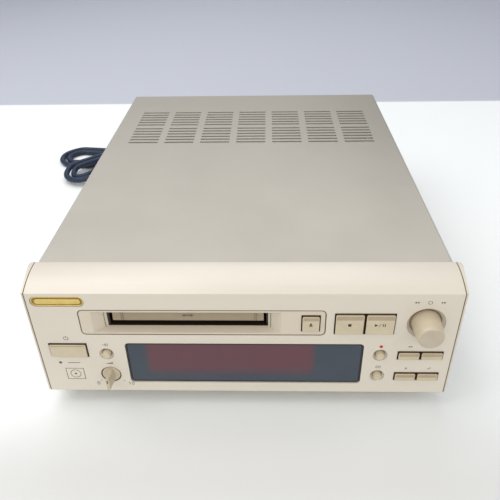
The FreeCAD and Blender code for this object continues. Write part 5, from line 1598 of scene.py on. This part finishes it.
    def _brow(self) -> list[Point2]:
        """The side view of the front plate's face and curved brow, a little proud of them.

        Returns:
            Its points, back and up, from the lower edge.
        """
        half_chord = math.hypot(self.brow_deep, self.brow_rise) / 2
        lean = math.atan2(self.brow_rise, self.brow_deep)
        half = math.asin(half_chord / self.brow_radius)
        points = [(-self.seam_proud, 0.3), (-self.seam_proud, self.plate_tall - 0.3)]
        for step in range(self.brow_steps + 1):
            turn = half * (2 * step / self.brow_steps - 1)
            along = half_chord + self.brow_radius * math.sin(turn)
            over = self.brow_radius * (math.cos(turn) - math.cos(half)) + self.seam_proud
            points.append((along * math.cos(lean) - over * math.sin(lean),
                           self.plate_tall + along * math.sin(lean) + over * math.cos(lean)))
        return points

    def _seams(self) -> None:
        """Dark joints between the front plate and its end caps, over the face and the brow."""
        at = self.shop.front.at
        mesh = bmesh.new()
        for side in (-1, 1):
            self.shop.loft(mesh, [
                [at(side * self.seam_across + x, back + y, up + z) for x, y, z in self.SEAM]
                for back, up in self._brow()
            ])
        self.shop.finish("cap_seams", mesh, "gap", "cabinet")

    def _joint(self) -> None:
        """Dark joint round the loading bezel."""
        self.shop.border("bezel_joint", "gap", *self.bezel_middle, 0.0, -Prints.THICK,
                         rounded(116.1, 15.2, 2.4, 8), rounded(115.5, 14.6, 2.1, 8))

    def _prints(self) -> None:
        """Generic marks in place of the words."""
        ink = Prints(self.shop)
        for symbol, across, up, scale in self.MARKS:
            ink.draw(symbol, across, up, scale)
        for stroke in self.STROKES:
            ink.bar(*stroke)
        ink.build("front_marks", 0.0, "ink", "cabinet")
        red = Prints(self.shop)
        red.dot(*self.record_mark, 0.85)
        red.build("record_dot", 0.0, "ink_red", "cabinet")


# Case details

@dataclass
class CaseDetails:
    """Feet, screws and the rear sockets."""

    shop: Workshop
    foot_across: float = 78.0
    foot_backs: Point2 = (42.0, 232.0)
    foot_drop: float = 10.0
    foot_steps: int = 48
    side_across: float = 99.4
    side_up: float = 8.0
    side_screws: Point2 = (60.0, 240.0)
    rear: float = 262.7
    rear_screws: tuple = ((-84.0, 58.0), (0.0, 58.0), (84.0, 58.0), (-84.0, 10.0), (84.0, 10.0))
    head_proud: float = 1.49
    screw_steps: int = 28
    jack_middle: Point2 = (-18.0, 25.0)
    jack_apart: float = 14.0
    block_wide: float = 28.0

    # Height over the foot's sole and radius
    FOOT = ((10.0, 4.5), (10.0, 12.8), (9.6, 13.0), (2.2, 12.1), (1.8, 11.6), (1.8, 4.6), (6.0, 4.4),
            (6.0, 0.4))
    PAD = ((1.8, 5.6), (1.8, 11.0), (0.4, 11.0), (0.0, 10.6), (0.0, 6.0), (0.4, 5.6))
    FOOT_SCREW = ((6.0, 3.0), (5.0, 2.9), (4.7, 2.4), (4.65, 0.3))
    # Height over the panel and radius
    PAN_HEAD = ((0.0, 3.6), (0.12, 3.6), (0.12, 2.8), (0.9, 2.8), (1.25, 2.5), (1.45, 1.8), (1.5, 0.3))
    BARREL = ((0.3, 5.2), (1.3, 5.2), (1.5, 4.9), (1.5, 4.15), (9.2, 4.15), (9.5, 3.9), (9.5, 3.3),
              (2.0, 3.2), (2.0, 3.0))
    INSULATOR = ((1.6, 3.1), (8.9, 3.1), (8.9, 1.5), (4.0, 1.4), (4.0, 0.2))

    def build(self) -> None:
        """Makes every piece."""
        self._feet()
        self._screws()
        self._jacks()

    def _feet(self) -> None:
        """Four moulded feet with a rubber pad and a screw well."""
        feet, pads, heads = bmesh.new(), bmesh.new(), bmesh.new()
        for back in self.foot_backs:
            for side in (-1, 1):
                centre = self.shop.front.at(side * self.foot_across, back, -self.foot_drop)
                self.shop.lathe(feet, centre, "Z", self.FOOT, self.foot_steps)
                self.shop.lathe(pads, centre, "Z", self.PAD, self.foot_steps)
                self.shop.lathe(heads, centre, "Z", self.FOOT_SCREW, self.foot_steps // 2)
        self.shop.finish("foot_bodies", feet, "black", "cabinet", "black_plastic", ("feet",))
        self.shop.finish("foot_pads", pads, "rubber", "cabinet", "black_plastic")
        self.shop.finish("foot_screws", heads, "nickel", "cabinet", "zinc_steel")

    def _cross(self, mesh: bmesh.types.BMesh, centre: Vector, axis: str, out: float) -> None:
        """Dark cross recess on a screw's head.

        Args:
            mesh: the mesh that it is added to.
            centre: the head's face.
            axis: the head's axis.
            out: the way out along it.
        """
        long, thick, lift = 3.0, 0.7, 0.04
        for wide, tall in ((long, thick), (thick, long)):
            self.shop.loft(mesh, [
                [centre + Vector((rise, x, z) if axis == "X" else (x, rise, z)) * MM
                 for x, z in oblong(wide, tall)]
                for rise in (0.0, lift * out)
            ])

    def _screws(self) -> None:
        """Pan head screws at the cover's sides and on the rear panel."""
        heads, crosses = bmesh.new(), bmesh.new()
        for side in (-1, 1):
            profile = [(side * along, radius) for along, radius in self.PAN_HEAD]
            for back in self.side_screws:
                centre = self.shop.front.at(side * self.side_across, back, self.side_up)
                self.shop.lathe(heads, centre, "X", profile, self.screw_steps)
                self._cross(crosses, centre + Vector((side * self.head_proud * MM, 0, 0)), "X", side)
        for across, up in self.rear_screws:
            centre = self.shop.front.at(across, self.rear, up)
            self.shop.lathe(heads, centre, "Y", self.PAN_HEAD, self.screw_steps)
            self._cross(crosses, centre + Vector((0, self.head_proud * MM, 0)), "Y", 1)
        self.shop.finish("case_screw_heads", heads, "nickel", "cabinet", "zinc_steel")
        self.shop.finish("case_screw_recesses", crosses, "ink_dark", "cabinet")

    def _jacks(self) -> None:
        """Four gilt phono sockets with white and red insulators on a black block."""
        middle, height = self.jack_middle
        plain = rounded(self.block_wide, self.block_wide, 0.6, 3)
        eased = rounded(self.block_wide - 0.8, self.block_wide - 0.8, 1.0, 3)
        self.shop.moulding("jack_block", "black", "cabinet", middle, height, [
            (self.rear - 11.0, plain), (self.rear - 0.3, plain), (self.rear + 0.4, eased)
        ], "black_plastic", ("audio_jacks",))
        half = self.jack_apart / 2
        barrels, colours = bmesh.new(), {"ink_white": bmesh.new(), "ink_red": bmesh.new()}
        marks = Prints(self.shop)
        for side in (-1, 1):
            for level, mesh in zip((half, -half), colours.values()):
                centre = self.shop.front.at(middle + side * half, self.rear, height + level)
                self.shop.lathe(barrels, centre, "Y", self.BARREL, 36)
                self.shop.lathe(mesh, centre, "Y", self.INSULATOR, self.screw_steps)
            marks.wedge(middle + side * half, height + 20.5, 2.4, 180 - 90 * side)
        self.shop.finish("phono_barrels", barrels, "brass", "cabinet", "black_plastic")
        for ink, mesh in colours.items():
            self.shop.finish("phono_" + ink, mesh, ink, "cabinet")
        marks.frame(middle, height, 33.0, 35.0, 0.4)
        marks.frame(29.0, height, 34.0, 17.0, 0.4)
        marks.build("rear_marks", self.rear + Prints.THICK, "ink_dark", "cabinet")


# CAD nodes that keep their shape, by finish
KEPT = {
    "cover": ("top_cover",),
    "fascia": ("fascia", "end_cap_left", "end_cap_right"),
    "bezel": ("loading_bezel",),
    "flap": ("slot_flap",),
    "panel": ("rear_panel",),
    "zinc": ("bottom_pan", "drive_bridge", "disc_holder", "cam_slider", "loading_motor", "sled_motor",
             "spindle_motor"),
    "nickel": ("flap_pin", "jog_shaft", "guide_rods", "lead_screw"),
    "cast": ("drive_base",),
    "black": ("button_switches", "jog_housing", "jog_rotor", "level_pot", "optical_sockets", "spindle_table",
              "pickup_sled", "board_parts"),
    "board": ("front_board", "supply_board", "main_board"),
    "coil": ("transformer_coil",),
    "core": ("transformer_core",),
    "rubber": ("drive_dampers",),
    "tube": ("display_tube",),
}


def main() -> None:
    """Builds the whole scene."""
    logging.basicConfig(level=logging.INFO)
    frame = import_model()
    shop = Workshop()
    studio = Studio()
    studio.camera()
    MainsLead(shop).build()
    studio.build(shop.palette)
    for finish, names in KEPT.items():
        shop.dress(frame["nodes"], finish, *names)
    KeySet(shop).build()
    Knobs(shop).build()
    FrontPlate(shop).build()
    CaseDetails(shop).build()


if __name__ == "__main__":
    main()
